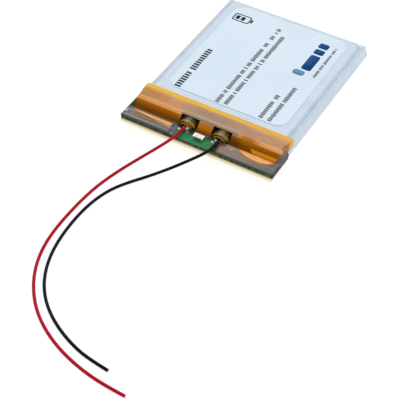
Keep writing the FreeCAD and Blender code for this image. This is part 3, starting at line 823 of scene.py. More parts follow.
# %% Plates
def rounded_outline(x, y, width, length, radius, steps=6):
    """Points round a rectangle with round corners."""
    points = []
    for k, (sx, sy) in enumerate(((1, -1), (1, 1), (-1, 1), (-1, -1))):
        for s in range(steps + 1):
            turn = math.radians(-90 + 90 * k + 90 * s / steps)
            points.append((x + sx * (width / 2 - radius) + radius * math.cos(turn),
                           y + sy * (length / 2 - radius) + radius * math.sin(turn)))
    return points


def plate(built, outer, hole=()):
    """A closed plate on the label, solid or with a hole."""
    levels = (INK_Z - INK_THICK / 2, INK_Z + INK_THICK / 2)
    out_low, out_high, in_low, in_high = [
        [built.verts.new(Vector((x, y, z)) * MM) for x, y in points]
        for points in (outer, hole) for z in levels]
    if hole:
        bridge(built, [out_low, out_high, in_high, in_low, out_low])
    else:
        bridge(built, [out_low, out_high])
        built.faces.new(out_high)
        built.faces.new(out_low[::-1])


def plates_piece(name, material, *shapes):
    """Several plates as one piece, each given by its outline and perhaps its hole."""
    built = bmesh.new()
    for outlines in shapes:
        plate(built, *(rounded_outline(*outline) for outline in outlines))
    return built_piece(name, built, material)


# %% Marks, as (x, y, width, length, corner radius)
prints += [
    plates_piece(
        "print_blue_bar", BLUE_INK,
        [(9.45, 10.1, 2.3, 5.4, 0.5)], [(9.45, 14.2, 2.3, 1.8, 0.5)], [(9.45, 16.5, 2.3, 1.8, 0.5)]),
    plates_piece("print_blue_chip", PALE_BLUE_INK, [(8.6, 6.0, 2.6, 1.7, 0.6)]),
    plates_piece(
        "print_cell_mark", BLACK_INK,
        [(-10.9, 16.2, 4.2, 2.6, 0.5), (-10.9, 16.2, 3.6, 2.0, 0.3)], [(-8.45, 16.2, 0.5, 1.2, 0.15)],
        [(-11.9, 16.2, 0.9, 1.3, 0.12)], [(-10.6, 16.2, 0.9, 1.3, 0.12)]),
]
report("marks", *prints[-3:])

# %% [markdown]
# ## The upper tape
# One wide strip of amber polyimide tape runs from the top of the cell, over a soft hump of foam
# and chips, down to the board and out to its front edge. It is a height above the board at every
# point, so a grid of columns and rows carries it, with lines crowded where it bends. Two notches
# let the leads in, and a window shows the bare board. Cloth simulation would wrinkle it at
# random, but this film is stuck down, and its creases are known.

# %% Places on the tape
TAPE = 0.08
BOARD_LOW, BOARD_HIGH = box_mm("circuit_board")
BOARD_TAPE_Z = BOARD_HIGH.z + TAPE
TAPE_BACK = -13.1
TAPE_FRONT = BOARD_LOW.y
RIM_X = BOARD_HIGH.x
HUMP_X = 16.93
OVER_CELL_X = {-1: 17.15, 1: 17.44}
NOTCH_RED = (-6.1, -1.75)
NOTCH_BLACK = (1.5, 5.9)
NOTCH_BACK = -17.75
WINDOW = (-6.1, 3.2)
WINDOW_BACK = -19.95
HUMP_FOOT = -19.65
STREAK_LIFT = 0.10
BLISTER_LIFT = 0.13
BEAD_LIFT = 0.10
CURL_LIFT = 0.30
BLISTER_AT = (12.6, -19.75)
BEAD_AT = (7.2, -20.6)
GLUE_AT = (-17.7, -21.2)
TOP_LINE = [
    (-23.2, 2.78), (-19.65, 2.78), (-18.12, 4.13), (-17.38, 4.54), (-14.5, 4.57), (-14.15, 4.565),
    (-13.5, 4.48), (-13.0, 4.465),
]


def ripple(x, y):
    """Small lengthwise creases of the film."""
    return 0.022 * cloud_at(x * 0.10, y * 2.6, 0.5) + 0.02 * cloud_at(x * 0.22, y * 0.9, 7.5)


def streak(x, y):
    """The crease left of the leads, where the film stands off the board: 0 to 1."""
    near_edge = -20.42 - 0.1 * (x + 16.2)
    inside = smooth(near_edge - 0.1, near_edge + 0.1, y) * fade(-20.15, -19.95, y)
    crease = 0.5 * fade(0.04, 0.2, abs(y - near_edge - 0.3)) * inside * smooth(-12.5, -10.5, x)
    fold = 0.6 * fade(0.05, 0.2, abs(y + 21.40)) * fade(-10.5, -9, x)
    return max(inside - crease, fold) * smooth(-16.5, -15.8, x) * fade(-7.3, -6.9, x)


def blister(x, y):
    """The long blister on the right, where the film stands off the board: 0 to 1."""
    along = (x - BLISTER_AT[0]) / 4.0
    across = max(0, BLISTER_AT[1] - y) / (1.6 + 0.05 * (x - BLISTER_AT[0]))
    return fade(0.86, 1.04, math.hypot(along, across)) * fade(BLISTER_AT[1], -19.62, y)


def spot(middle, inner_radius, outer_radius, x, y):
    """1 at a small round spot and 0 away from it."""
    return fade(inner_radius, outer_radius, math.hypot(x - middle[0], y - middle[1]))


def tape_z(x, y):
    """Height of the tape's outer face."""
    on_board = fade(HUMP_FOOT - 0.5, HUMP_FOOT, y)
    bumps = STREAK_LIFT * streak(x, y) + BLISTER_LIFT * blister(x, y)
    bumps += BEAD_LIFT * spot(BEAD_AT, 0.1, 0.5, x, y)
    curl = CURL_LIFT * smooth(-6.75, -6.15, x) * fade(-6.1, -6.0, x) * smooth(-23.1, -21.4, y)
    return bent(TOP_LINE, y, 0.06) + ripple(x, y) * (0.6 + 0.4 * on_board) + on_board * (bumps + curl)


# %% Ends of the tape
EDGE_STEPS = [(0.07, 0.0), (0.06, 0.3), (0.045, 0.6), (0.02, 0.85), (-0.03, 0.96), (-0.12, 1.0), (-0.3, 1.0)]
DRAPE = 0.85
FLAP_RISE = 1.45


def edge_x(side, y):
    """Where the tape turns down at its ends: at the hump's end, further out over the cell."""
    return HUMP_X + (OVER_CELL_X[side] - HUMP_X) * smooth(-15.9, -15.35, y)


def drawn_out(side, x, y):
    """A place beside the hump, pulled towards the board's rim where the film drapes down."""
    back_end = fade(-15.9, -15.35, y) if side > 0 else 1 - 0.7 * smooth(-15.0, -13.1, y)
    return RIM_X - (RIM_X - x) * (1 - DRAPE * smooth(-19.9, -19.3, y) * back_end)


def foot_z(side, y):
    """Height of the turned-down end's lower edge: on the left it rises towards the cell."""
    return BOARD_TAPE_Z + (FLAP_RISE * smooth(-16.1, -13.0, y) if side < 0 else 0)


# %% Columns, places and cut-aways
def tape_columns():
    """Columns as (kind, side or x, step): the rim, the turned-down end, and the middle."""
    rim = [("rim", out) for out in (RIM_X, RIM_X - 0.3, RIM_X - 0.6, HUMP_X + 0.2)]
    ends = rim + [("edge", k) for k in range(len(EDGE_STEPS))]
    middle = stations((-16.4, -6.1, 44), (-6.1, -1.75, 18), (-1.75, 1.5, 14), (1.5, 3.2, 7), (3.2, 5.9, 11),
                      (5.9, 16.4, 46))
    left = [(kind, -1, value) for kind, value in ends]
    right = [(kind, 1, value) for kind, value in reversed(ends)]
    return left + [("middle", 0, x) for x in middle] + right


def tape_place(column, y):
    """The point of a column at this y."""
    kind, side, value = column
    if kind == "middle":
        return value, y, tape_z(value, y)
    if kind == "rim":
        return side * drawn_out(side, value, y), y, BOARD_TAPE_Z
    out, fraction = EDGE_STEPS[value]
    foot = edge_x(side, y) + EDGE_STEPS[0][0]
    x = side * (edge_x(side, y) + out + (drawn_out(side, foot, y) - foot) * (1 - fraction))
    low = foot_z(side, y)
    return x, y, low + (tape_z(x, y) - low) * fraction


def tape_keep(left, right, y0, y1):
    """False in the window, in the two notches and beside the cell."""
    y = (y0 + y1) / 2
    if "rim" in (left[0], right[0]) and y > -15.95:
        return False
    if left[0] != "middle" or right[0] != "middle":
        return True
    x = (left[2] + right[2]) / 2
    if WINDOW[0] < x < WINDOW[1] and y < WINDOW_BACK:
        return False
    in_notch = any(a < x < b for a, b in (NOTCH_RED, NOTCH_BLACK))
    bare = WINDOW[0] < x < WINDOW[1] or y > HUMP_FOOT
    return not (in_notch and y < NOTCH_BACK and bare)


# %% [markdown]
# ### Amber film over different backings
# The film is one colour, but it takes on what lies beneath it: clear yellow on the bright pouch,
# orange brown on paper, dark brown on the slope, where the dim hollow behind it is painted shade,
# nearly black on the green board, and bright orange wherever air gets under it. Those backings
# are stored as a colour on each point, and the material adds the fine streaks of the film. The
# shoulder's bend is lightened with a painted highlight.

# %% Colours of the film
OVER_FOIL = (0.97, 0.56, 0.006)
OVER_FOIL_RIGHT = (0.98, 0.48, 0.03)
OVER_PAPER = (0.60, 0.25, 0.03)
OVER_PAPER_GREY = (0.36, 0.17, 0.07)
UNDER_AIR = (0.82, 0.40, 0.10)
OVER_PAPER_SHADE = (0.34, 0.11, 0.02)
END_PALE = (0.92, 0.74, 0.42)
# Light orange film on the shoulder's bend, brightened further as a painted highlight.
SHOULDER_HIGHLIGHT_TONE = (1.0, 0.44, 0.13)
SHOULDER_RIGHT = (0.62, 0.22, 0.02)
# The slope's dark tones are painted shade: the film there shows the dim hollow behind it.
SLOPE_SHADED_HIGH = (0.52, 0.155, 0.002)
SLOPE_SHADED_LOW = (0.24, 0.072, 0.001)
SLOPE_SHADE = (0.14, 0.05, 0.001)
SLOPE_BRIGHT = (0.90, 0.34, 0.004)
SLOPE_MIDDLE = (0.72, 0.22, 0.004)
OVER_BOARD = (0.045, 0.048, 0.030)
OVER_BOARD_LINE = (0.40, 0.34, 0.26)
OVER_BOARD_RIGHT = (0.19, 0.11, 0.06)
OVER_BOARD_FRONT = (0.012, 0.022, 0.008)
DRAPE_LEFT = (0.032, 0.040, 0.0)
DRAPE_RIGHT = (0.15, 0.12, 0.095)
LIFTED = (1.0, 0.38, 0.05)
BEAD_TONE = (0.75, 0.60, 0.20)
NOTCH_TOP = (0.42, 0.28, 0.13)


def slope_tint(x, y):
    """The film on the hump's slope, darkened with painted shade of the dim hollow behind it."""
    high = smooth(-19.2, -18.2, y)
    start = 11.0 - 1.2 * (y + 19.2)
    pocket = smooth(start - 0.2, start + 0.2, x) * smooth(-19.58, -19.48, y) * fade(-19.0, -18.88, y)
    return layered(
        SLOPE_SHADED_LOW, (SLOPE_SHADED_HIGH, high),
        (SLOPE_SHADE, fade(6.5, 9.5, x) * smooth(5, 6, x) * (1 - 0.5 * high)),
        (SLOPE_MIDDLE, smooth(-2, -1.6, x) * fade(1.4, 1.8, x) * smooth(-19.6, -18.6, y)),
        (SLOPE_BRIGHT, pocket))


def board_tint(x, y):
    """The film on the board, with fine pale lines, and bright where it stands off."""
    marks = smooth(0.08, 0.4, cloud_at(x * 0.10, y * 2.6, 4.0))
    return layered(
        OVER_BOARD, (OVER_BOARD_RIGHT, smooth(3, 5, x) * fade(9, 17, x)),
        (OVER_BOARD_LINE, (0.45 - 0.25 * smooth(-9, 3, x)) * marks),
        (OVER_BOARD_FRONT, fade(-22.95, -22.3, y)),
        (LIFTED, max(streak(x, y), blister(x, y))),
        (BEAD_TONE, spot(BEAD_AT, 0.15, 0.4, x, y)),
        (BEAD_TONE, spot(GLUE_AT, 0.2, 0.5, x, y)))


def paper_tint(x, y):
    """The film on paper: a pale strip behind, then brown with reddish lengthwise marks."""
    greyer = smooth(-9, -3, x) * (1 - 0.65 * smooth(3, 12, x))
    marks = smooth(0.0, 0.5, cloud_at(x * 0.5, y * 3.0, 9.0))
    return layered(
        OVER_PAPER, (OVER_PAPER_GREY, greyer), (OVER_PAPER_SHADE, 0.45 * marks),
        (UNDER_AIR, 0.6 * smooth(-15.2, -14.6, y) * (1 - 0.6 * greyer)))


def beside(x, y, z):
    """How far a place is down the draped end of the hump: 0 to 1."""
    over_hump = smooth(-19.9, -19.6, y) * fade(-16.2, -15.6, y)
    return smooth(HUMP_X - 0.35, HUMP_X, abs(x)) * over_hump * fade(3.6, 4.35, z)


def tape_tint(x, y, z):
    """The film's colour at a place."""
    foil = mix(OVER_FOIL, OVER_FOIL_RIGHT, smooth(-2, 12, x))
    above_notches = smooth(-6.4, -6.0, x) * fade(6.9, 7.5, x)
    shoulder = layered(
        SHOULDER_HIGHLIGHT_TONE, (SHOULDER_RIGHT, smooth(6.5, 9, x) * fade(10, 13, x)), (NOTCH_TOP, above_notches))
    further = 0.6 * above_notches
    return layered(
        board_tint(x, y), (slope_tint(x, y), smooth(-19.72, -19.6, y)),
        (shoulder, smooth(-18.2, -17.95, y)),
        (paper_tint(x, y), smooth(-17.4 + further, -17.05 + further, y)),
        (foil, smooth(-14.4, -14.2, y)),
        (END_PALE, smooth(16.95, 17.4, -x) * smooth(-16.4, -15.6, y)),
        (DRAPE_LEFT if x < 0 else DRAPE_RIGHT, beside(x, y, z)))


def tape_matt(x, y, z):
    """How matt the film is: where it is stretched tight, it mirrors less."""
    over_foil = 0.9 * smooth(-14.5, -14.2, y)
    left_paper = 0.75 * fade(-15, -5, x) * smooth(-17.4, -17.0, y)
    front = 0.7 * fade(-22.9, -22.3, y)
    return max(over_foil, left_paper, front, beside(x, y, z) * (1 if x < 0 else 0.3))


# %% Film finish
def film_finish(name, roughness, streaks=0.25, glow=0.0):
    """Glossy film whose colour is stored on its points, with fine streaks along X.

    The glow stands for light from the floor that comes through a free edge.
    """
    material, tree, shader = new_finish(name, roughness=roughness, ior=1.45)
    stored = add(tree, "ShaderNodeAttribute", attribute_name="tint").outputs["Color"]
    lines_along = grain(tree, 0.22, (0.05, 1, 1), detail=4)
    patches = grain(tree, 1.6, (0.5, 1, 1))
    matt = add(tree, "ShaderNodeAttribute", attribute_name="matt").outputs["Fac"]
    darker = blend(tree, streaks, stored, (0.4, 0.34, 0.3, 1), blend_type="MULTIPLY")
    streaked = blend(tree, lines_along, darker, stored)
    glossy = spread(tree, patches, roughness * 0.7, roughness * 1.5)
    rough = maths(tree, "MULTIPLY_ADD", matt, 0.5, glossy)
    connect(tree, shader, streaked, rough, relief(tree, patches, 0.05, 0.5))
    tree.links.new(streaked, shader.inputs["Emission Color"])
    shader.inputs["Emission Strength"].default_value = glow
    return material


AMBER_FILM = film_finish("amber_film", 0.13, 0.32)

# %% Build the upper tape
tape_rows = stations((TAPE_FRONT, HUMP_FOOT, 36), (HUMP_FOOT, NOTCH_BACK, 16), (NOTCH_BACK, -17.0, 8),
                     (-17.0, -14.5, 18), (-14.5, TAPE_BACK, 12))
tape_rows = sorted(tape_rows + [WINDOW_BACK])
upper_tape = film_sheet("amber_upper_tape", AMBER_FILM, tape_columns(), tape_rows, tape_place, TAPE,
                        tape_tint, tape_matt, tape_keep)
report("upper tape", upper_tape)

# %% [markdown]
# ### Cut sides of the notches
# Where the tape was slit for the leads, its edge is turned down into the notch. These narrow
# returns close the hump's side; low down they are painted dark as shade inside the notch, and
# near their top edge they carry a painted highlight. Beside the window the same edge lies over
# on the board, as a slanted strip with a painted cold highlight.

# %% Notch returns
# A painted highlight on the cut edge and painted shade inside the notch.
RETURN_HIGHLIGHT = (0.20, 0.18, 0.23)
INSIDE_SHADE = (0.05, 0.04, 0.012)
RETURN_WALL = 0.07


def build_return(name, x, y_front):
    """A turned-down edge at x, from the notch's back to y_front."""
    foot = BOARD_HIGH.z + 0.01

    def place(t, y):
        top = tape_z(x, y) - 0.01
        lean = 0.05 + 0.6 * smooth(-19.95, -20.2, y)
        return x + lean * (1 - t), y, foot + (top - foot) * t

    def return_tint(_, y, z):
        # Painted shade low in the notch; a painted highlight near the top and on the strip beside the window.
        near_top = smooth(tape_z(x, y) - 0.4, tape_z(x, y) - 0.15, z)
        return mix(INSIDE_SHADE, RETURN_HIGHLIGHT, max(smooth(-19.95, -20.2, y), 0.5 * near_top))

    rows = stations((y_front, NOTCH_BACK, 40))
    return film_sheet(name, AMBER_FILM, stations((0, 1, 8)), rows, place, RETURN_WALL, return_tint)


returns = [
    build_return("notch_return_red", NOTCH_RED[0], TAPE_FRONT + 0.05),
    build_return("notch_return_middle", NOTCH_RED[1], HUMP_FOOT),
    build_return("notch_return_black", NOTCH_BLACK[0], HUMP_FOOT),
]
report("returns", *returns)

# %% [markdown]
# ## The lower tape
# The lower strip runs under the front of the cell, climbs behind the folded tabs to the board's
# underside and ends in a free lip that droops before the board. Held off everything it looks
# almost cream, with a tan line where its edge is cut; a painted glow stands for floor light coming
# through it. It is the same kind of sheet as the upper one, swept from one side to the other.

# %% Lower tape
LOWER_LOW, LOWER_HIGH = box_mm("lower_tape")
LOWER_LINE = [(-23.42, 1.22), (-22.85, 1.80), (-20.87, 1.80), (-20.07, 0.0), (-13.1, 0.0)]
UNDER_CELL_X = 16.7
LIP_CREAM = (1.0, 0.94, 0.80)
LIP_TAN = (0.70, 0.56, 0.30)
LIP_EDGE = (0.42, 0.25, 0.11)
LOWER_AMBER = (0.62, 0.30, 0.03)


def lower_place(x, t):
    """The sheet's upper face, t from 0 at the lip to 1 under the cell."""
    y = LOWER_LINE[0][0] + (LOWER_LINE[-1][0] - LOWER_LINE[0][0]) * t
    tucked = UNDER_CELL_X / LOWER_HIGH.x
    return x * (1 + (tucked - 1) * smooth(-21.4, -20.9, y)), y, bent(LOWER_LINE, y, 0.15) + TAPE


def lower_tint(x, y, z):
    """Amber under the cell, tan by the board, cream at the lip and dark tan on its cut edge."""
    return layered(
        LOWER_AMBER, (LIP_TAN, fade(-22.9, -22.6, y)), (LIP_CREAM, fade(-23.24, -23.14, y)),
        (LIP_EDGE, fade(-23.41, -23.33, y)))


# The lip's glow is painted light: floor light coming through the free film.
LIP_FILM = film_finish("lip_film", 0.35, 0.12, glow=0.38)
lower_tape = film_sheet(
    "amber_lower_tape", LIP_FILM, stations((LOWER_LOW.x, LOWER_HIGH.x, 90)),
    stations((0, 0.36, 44), (0.36, 1, 14)), lower_place, TAPE, lower_tint)
report("lower tape", lower_tape)

# %% [markdown]
# ## Sleeves over the soldered leads
# Each joint hides under two arched turns of the same tape. From the front they read as nested
# arcs with bright rims. A half tube with a slightly flared lip and a wavering radius gives the
# shape; the bright rims are painted highlights, and the dark line between them and the darker
# low parts are painted shade.

# %% Sleeves
SLEEVE_X = {"red": -4.1, "black": 3.8}
SLEEVE_TURNS = [(1.90, 1.50, -19.45), (1.45, 1.23, -19.90)]
SLEEVE_LENGTH = 2.0
SLEEVE_WALL = 0.12
# The rim tone is a painted highlight and the gap tone is painted shade.
SLEEVE_RIM_HIGHLIGHT = (0.60, 0.33, 0.03)
SLEEVE_BODY = (0.075, 0.042, 0.008)
SLEEVE_GAP_SHADE = (0.022, 0.011, 0.001)

SLEEVE_FILM = film_finish("sleeve_film", 0.18)


def sleeve_tint(back, z):
    """Painted highlight on the rim, a dark line of painted shade, a second golden band of painted highlight,
    then brown, with painted shade low down.
    """
    colour = layered(
        SLEEVE_RIM_HIGHLIGHT, (SLEEVE_GAP_SHADE, smooth(0.12, 0.2, back)), (SLEEVE_RIM_HIGHLIGHT, 0.8 * smooth(0.30, 0.38, back)),
        (SLEEVE_BODY, smooth(0.5, 0.7, back)))
    return mix(SLEEVE_GAP_SHADE, colour, 0.35 + 0.65 * smooth(3.0, 3.6, z))


def build_sleeve(colour):
    """Two arched turns of tape, joined into one piece."""
    middle = SLEEVE_X[colour]
    shells = []
    for turn, (rx, rz, front) in enumerate(SLEEVE_TURNS):
        def place(t, s):
            angle = math.pi * (1 - t)
            swell = (1 + 0.025 * cloud_at(3 * t, s * 2, turn + middle)) * (1 + 0.03 * fade(0, 0.12, s))
            z = BOARD_HIGH.z + 0.005 + rz * swell * math.sin(angle)
            return middle + rx * swell * math.cos(angle), front + SLEEVE_LENGTH * s, z

        shells.append(film_sheet(
            "turn", SLEEVE_FILM, stations((0, 1, 40)), stations((0, 0.4, 16), (0.4, 1, 8)), place,
            SLEEVE_WALL, lambda x, y, z: sleeve_tint(y - front, z)))
    return joined(colour + "_taped_sleeve", shells)


sleeves = {colour: build_sleeve(colour) for colour in SLEEVE_X}
report("sleeves", *sleeves.values())

# %% [markdown]
# ## The circuit board
# The board keeps its CAD shape. Its finish does the telling: a deep green mask on both faces,
# faint traces that raise it a little, painted shade on the face towards the hump, round the
# joints, and dark laminate on its cut edges, darkened further as painted shade. The face's own
# normal tells edge from top, and the place along Y tells where the painted shade on the face
# falls, so no second material is needed.

# %% Board mask
def board_finish():
    """Green solder mask with faint traces, painted shade near the joints, and dark cut edges darkened further
    as painted shade.
    """
    material, tree, shader = new_finish("green_solder_mask", roughness=0.5)
    shader.inputs["Specular IOR Level"].default_value = 0.3
    place = add(tree, "ShaderNodeTexCoord").outputs["Object"]
    turned = add(tree, "ShaderNodeMapping", {
        "Vector": place, "Rotation": (0, 0, math.radians(45))}).outputs[0]
    traces = add(tree, "ShaderNodeTexWave", {
        "Vector": turned, "Scale": 1 / (5.5 * MM), "Distortion": 2.5, "Detail": 0.0}).outputs["Fac"]
    cloud = grain(tree, 1.2)
    mask = between(tree, cloud, (0.0, 0.17, 0.035), (0.0, 0.25, 0.055))
    raised = between(tree, traces, (0.0, 0.19, 0.04), (0.0, 0.30, 0.075), 0.72, 0.8)
    plies = grain(tree, 0.8, (1, 1, 0.3))
    # The cut edges: dark laminate, darkened further as painted shade.
    laminate = between(tree, plies, (0.003, 0.006, 0.003), (0.05, 0.075, 0.035), 0.42, 0.6)
    # Painted shade on the face towards the hump's foot, round the joints, with a wavy edge.
    behind = add(tree, "ShaderNodeSeparateXYZ", {0: place}).outputs["Y"]
    wavy = maths(tree, "MULTIPLY_ADD", cloud, 1.4 * MM, behind)
    shade_at_joints = remap(tree, wavy, -20.4 * MM, -19.6 * MM)
    face = blend(tree, shade_at_joints, blend(tree, 0.45, mask, raised), (0.022, 0.032, 0.008, 1))
    on_face = maths(tree, "GREATER_THAN", maths(tree, "ABSOLUTE", upright(tree)), 0.5)
    colour = blend(tree, on_face, laminate, face)
    connect(tree, shader, colour, spread(tree, cloud, 0.42, 0.58), relief(tree, traces, 0.01))
    return material


dress("circuit_board", board_finish())

# %% [markdown]
# ## The chip fuse
# The only part in the open is a small ceramic fuse. Ground ceramic has soft edges, and that is
# what catches the light at this size, so a block gets a real Bevel. Its end caps are the same
# block, tinned.

# %% Fuse
EDGE_ROUND = 0.05


def soft_block(name, low, high, material):
    """A block with rounded edges, between two corners in millimetres."""
    built = bmesh.new()
    bmesh.ops.create_cube(built, size=1.0)
    middle, size = (low + high) / 2, high - low
    for vertex in built.verts:
        vertex.co = Vector([m + c * s for m, c, s in zip(middle, vertex.co, size)]) * MM
    piece = built_piece(name, built, material)
    edge = piece.modifiers.new("edge", "BEVEL")
    edge.width = EDGE_ROUND * MM
    edge.segments = 3
    apply_modifiers(piece)
    return piece


def ceramic_finish():
    """Cream ceramic on top, with the sides painted grey as shade."""
    material, tree, shader = new_finish("fuse_ceramic", roughness=0.35)
    speck = grain(tree, 0.12)
    cream_top = between(tree, speck, (0.86, 0.76, 0.60), (0.95, 0.88, 0.74))
    body = between(tree, speck, (0.16, 0.16, 0.16), (0.24, 0.24, 0.23))
    # Painted shade: the sides take the darker grey, the top the cream.
    colour = blend(tree, remap(tree, upright(tree), 0.5, 0.8), body, cream_top)
    connect(tree, shader, colour, normal=relief(tree, speck, 0.004))
    return material


fuse_low, fuse_high = box_mm("chip_fuse")
fuse_body = soft_block("fuse_body", fuse_low, fuse_high, ceramic_finish())
caps_low, caps_high = box_mm("chip_fuse_caps")
CAP_FINISH = grained_finish("tinned_cap", (0.66, 0.62, 0.54), (0.86, 0.82, 0.74), 0.15, 0.3, metallic=0.6)
fuse_caps = joined("fuse_caps", [
    soft_block("cap", caps_low, Vector((fuse_low.x, caps_high.y, caps_high.z)), CAP_FINISH),
    soft_block("cap", Vector((fuse_high.x, caps_low.y, caps_low.z)), caps_high, CAP_FINISH),
])
print("fuse:", [round(c, 2) for c in fuse_high - fuse_low])

# %% [markdown]
# ## Solder
# A hand-soldered joint is a lopsided bead that wets the pad and climbs the wire. A fine sphere,
# flattened on the board and pushed about by noise, gives that uneven skin, and a bright, nearly
# smooth metal gives the sharp glints.

# %% Solder
SOLDER_BASE = 2.76
SOLDER_RADII = (1.15, 1.5, 0.68)
SOLDER = grained_finish("solder", (0.74, 0.75, 0.80), (0.92, 0.93, 0.96), 0.5, 0.2, metallic=1.0, depth=0.03)


def build_solder(colour, seed, aside):
    """A lopsided bead over the bared strands, a little to one side of them."""
    x, y, _ = ROUTES[colour][0]
    centre = Vector((x + aside, y + 0.36, SOLDER_BASE))
    built = bmesh.new()
    bmesh.ops.create_icosphere(built, subdivisions=5, radius=1.0)
    for vertex in built.verts:
        way = vertex.co.copy()
        swell = 1 + 0.13 * noise.noise(way * 1.7 + Vector((seed, 0, 0))) + 0.04 * noise.noise(way * 5)
        shaped = Vector([c * r for c, r in zip(way, SOLDER_RADII)]) * swell
        shaped.z = max(shaped.z, 0.0)
        vertex.co = (centre + shaped) * MM
    return built_piece(colour + "_solder_bead", built, SOLDER)


beads = {"red": build_solder("red", 2.0, 0.05), "black": build_solder("black", 6.0, -0.35)}

# %% [markdown]
# ## Insulation and cut ends
# The two insulations differ in little but colour. At the far end each lead is cut square, and
# seven fine strands show in the cut: one in the middle and six round it, which is a pattern for
# Geometry Nodes.

# %% Insulation finish
def insulation(name, dark, light, roughness):
    """Extruded plastic, with faint long marks."""
    material, tree, shader = new_finish(name, roughness=roughness)
    shader.inputs["Specular IOR Level"].default_value = 0.1
    cloud = grain(tree, 1.4)
    fine = grain(tree, 0.15)
    rough = spread(tree, fine, roughness - 0.06, roughness + 0.06)
    connect(tree, shader, between(tree, cloud, dark, light), rough, relief(tree, fine, 0.004))
    return material


INSULATION = {
    "red": insulation("red_insulation", (0.42, 0.001, 0.014), (0.54, 0.003, 0.022), 0.36),
    "black": insulation("black_insulation", (0.002, 0.002, 0.003), (0.006, 0.006, 0.009), 0.34),
}
for colour, lead in leads.items():
    lead.data.materials.append(INSULATION[colour])


# %% Strand tree
STRAND = 0.11
STRAND_STICK_OUT = 0.08


def strand_tree():
    """Seven round strands about a point, along a direction given as a rotation."""
    tree, given = start_tree("cut_strands", Place="Vector", Turn="Vector", Strand="Float", Length="Float",
                             Metal="Material")
    spacing = maths(tree, "MULTIPLY", given["Strand"], 1.04)
    ring_of_six = add(tree, "GeometryNodeMeshCircle", {"Vertices": 6, "Radius": spacing}).outputs[0]
    centre = add(tree, "GeometryNodeMeshLine", {"Count": 1}).outputs[0]
    places = add(tree, "GeometryNodeJoinGeometry")
    tree.links.new(ring_of_six, places.inputs[0])
    tree.links.new(centre, places.inputs[0])
    radius = maths(tree, "MULTIPLY", given["Strand"], 0.5)
    strand = add(tree, "GeometryNodeMeshCylinder", {
        "Vertices": 14, "Radius": radius, "Depth": given["Length"]}).outputs[0]
    moved = add(tree, "GeometryNodeTransform", {
        "Geometry": realized(tree, places.outputs[0], strand), "Translation": given["Place"],
        "Rotation": given["Turn"]}).outputs[0]
    return end_tree(tree, moved, given["Metal"])


# %% Cut ends
STRAND_TREE = strand_tree()
cut_ends = {}
for colour, line in lines.items():
    turn = (line[-1] - line[-2]).to_track_quat("Z", "Y").to_euler()
    cut_ends[colour] = grown(
        colour + "_cut_strands", STRAND_TREE, Place=line[-1], Turn=Vector(turn), Strand=STRAND * MM,
        Length=STRAND_STICK_OUT * MM, Metal=finishes["tinned_strand"])
    report(colour + " cut end", cut_ends[colour])

# %% [markdown]
# ## Floor and light
# The floor is a plain pale sheet. Suns with a wide angle light every part of it alike, as big
# softboxes far away would. The main one stands behind, where the level faces of the tape mirror
# it: that gives the film its greyish sheen, while its slopes keep the deep colour stored on
# them, which is partly painted shade.

# %% Floor
FLOOR_HALF = 1.5


def floor_finish():
    """Matt white paper that glows a little, as an evenly lit sweep does."""
    material, tree, shader = new_finish("studio_paper", roughness=0.9)
    shader.inputs["Base Color"].default_value = (0.32, 0.32, 0.32, 1)
    shader.inputs["Specular IOR Level"].default_value = 0.0
    shader.inputs["Emission Color"].default_value = (1, 1, 1, 1)
    shader.inputs["Emission Strength"].default_value = 0.82
    return material


floor_mesh = bpy.data.meshes.new("studio_floor")
floor_corners = [(x * FLOOR_HALF, y * FLOOR_HALF, 0) for x, y in ((-1, -1), (1, -1), (1, 1), (-1, 1))]
floor_mesh.from_pydata(floor_corners, [], [(0, 1, 2, 3)])
floor_mesh.materials.append(floor_finish())
floor = in_scene("studio_floor", floor_mesh)


# %% Lights and view
def sun(name, azimuth, elevation, strength, width):
    """A wide, soft sun. Angles in degrees."""
    data = bpy.data.lights.new(name, "SUN")
    data.energy = strength
    data.angle = math.radians(width)
    way = aim(math.radians(azimuth), math.radians(elevation))
    in_scene(name, data).rotation_euler = way.to_track_quat("Z", "Y").to_euler()


# name, azimuth, elevation, strength, width
sun("back_softbox", 210.6, 46, 0.75, 38)
sun("top_softbox", 0, 86, 0.45, 36)
sun("side_softbox", 100, 40, 0.20, 50)

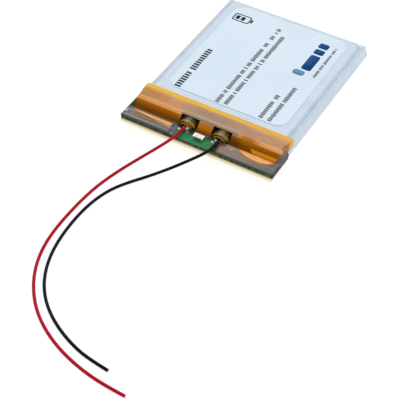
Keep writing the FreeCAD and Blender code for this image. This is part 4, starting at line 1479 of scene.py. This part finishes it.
# %% [markdown]
# ### A dark card
# The world is an even pale dome, which fills every shadow. In front, on the left, a soft dark
# card is let into it: the slopes of the tape mirror that side, and without the card a pale
# veil would lie over their amber.

# %% World
CARD_AZIMUTH = -31.0
CARD_ELEVATION = 47.0
DOME_STRENGTH = 0.64


def build_world():
    """A pale dome with one soft dark patch."""
    world = bpy.data.worlds.new("studio")
    world.use_nodes = True
    tree = world.node_tree
    way = add(tree, "ShaderNodeTexCoord").outputs["Generated"]
    card = aim(math.radians(CARD_AZIMUTH), math.radians(CARD_ELEVATION))
    facing = add(tree, "ShaderNodeVectorMath", {0: way, 1: card}, operation="DOT_PRODUCT").outputs["Value"]
    sky = tree.nodes["Background"]
    sky.inputs["Color"].default_value = (0.97, 0.985, 1.0, 1)
    tree.links.new(remap(tree, facing, 0.94, 0.84, 0.06, DOME_STRENGTH), sky.inputs["Strength"])
    return world


bpy.context.scene.world = build_world()
bpy.context.scene.view_settings.view_transform = "Standard"

# %% [markdown]
# ## What each piece stands for
# Every new piece moves with the one body and hides the CAD nodes that it replaces.

# %% Bind the pieces
BOUND = [
    (pouch, "pouch_foil", ["pouch_cup"]),
    (seams[1], "pouch_foil", ["side_seam_right"]),
    (seams[-1], "pouch_foil", ["side_seam_left"]),
    (upper_tape, "polyimide_tape", ["upper_tape"]),
    (lower_tape, "polyimide_tape", ["lower_tape"]),
    (fuse_body, "chip_ceramic", ["chip_fuse"]),
    (fuse_caps, "tinned", ["chip_fuse_caps"]),
]
for colour in ROUTES:
    BOUND += [
        (sleeves[colour], "polyimide_tape", [colour + "_lead_sleeve"]),
        (beads[colour], "tinned", [colour + "_solder"]),
        (leads[colour], colour + "_insulation", [colour + "_lead"]),
        (cut_ends[colour], "tinned", []),
    ]
BOUND += [(piece, "label_film", []) for piece in prints]
BOUND += [(piece, "polyimide_tape", []) for piece in returns]
for piece, slot, replaced in BOUND:
    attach(piece, "root")
    if replaced:
        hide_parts(*replaced)
print("pieces bound:", len(BOUND))
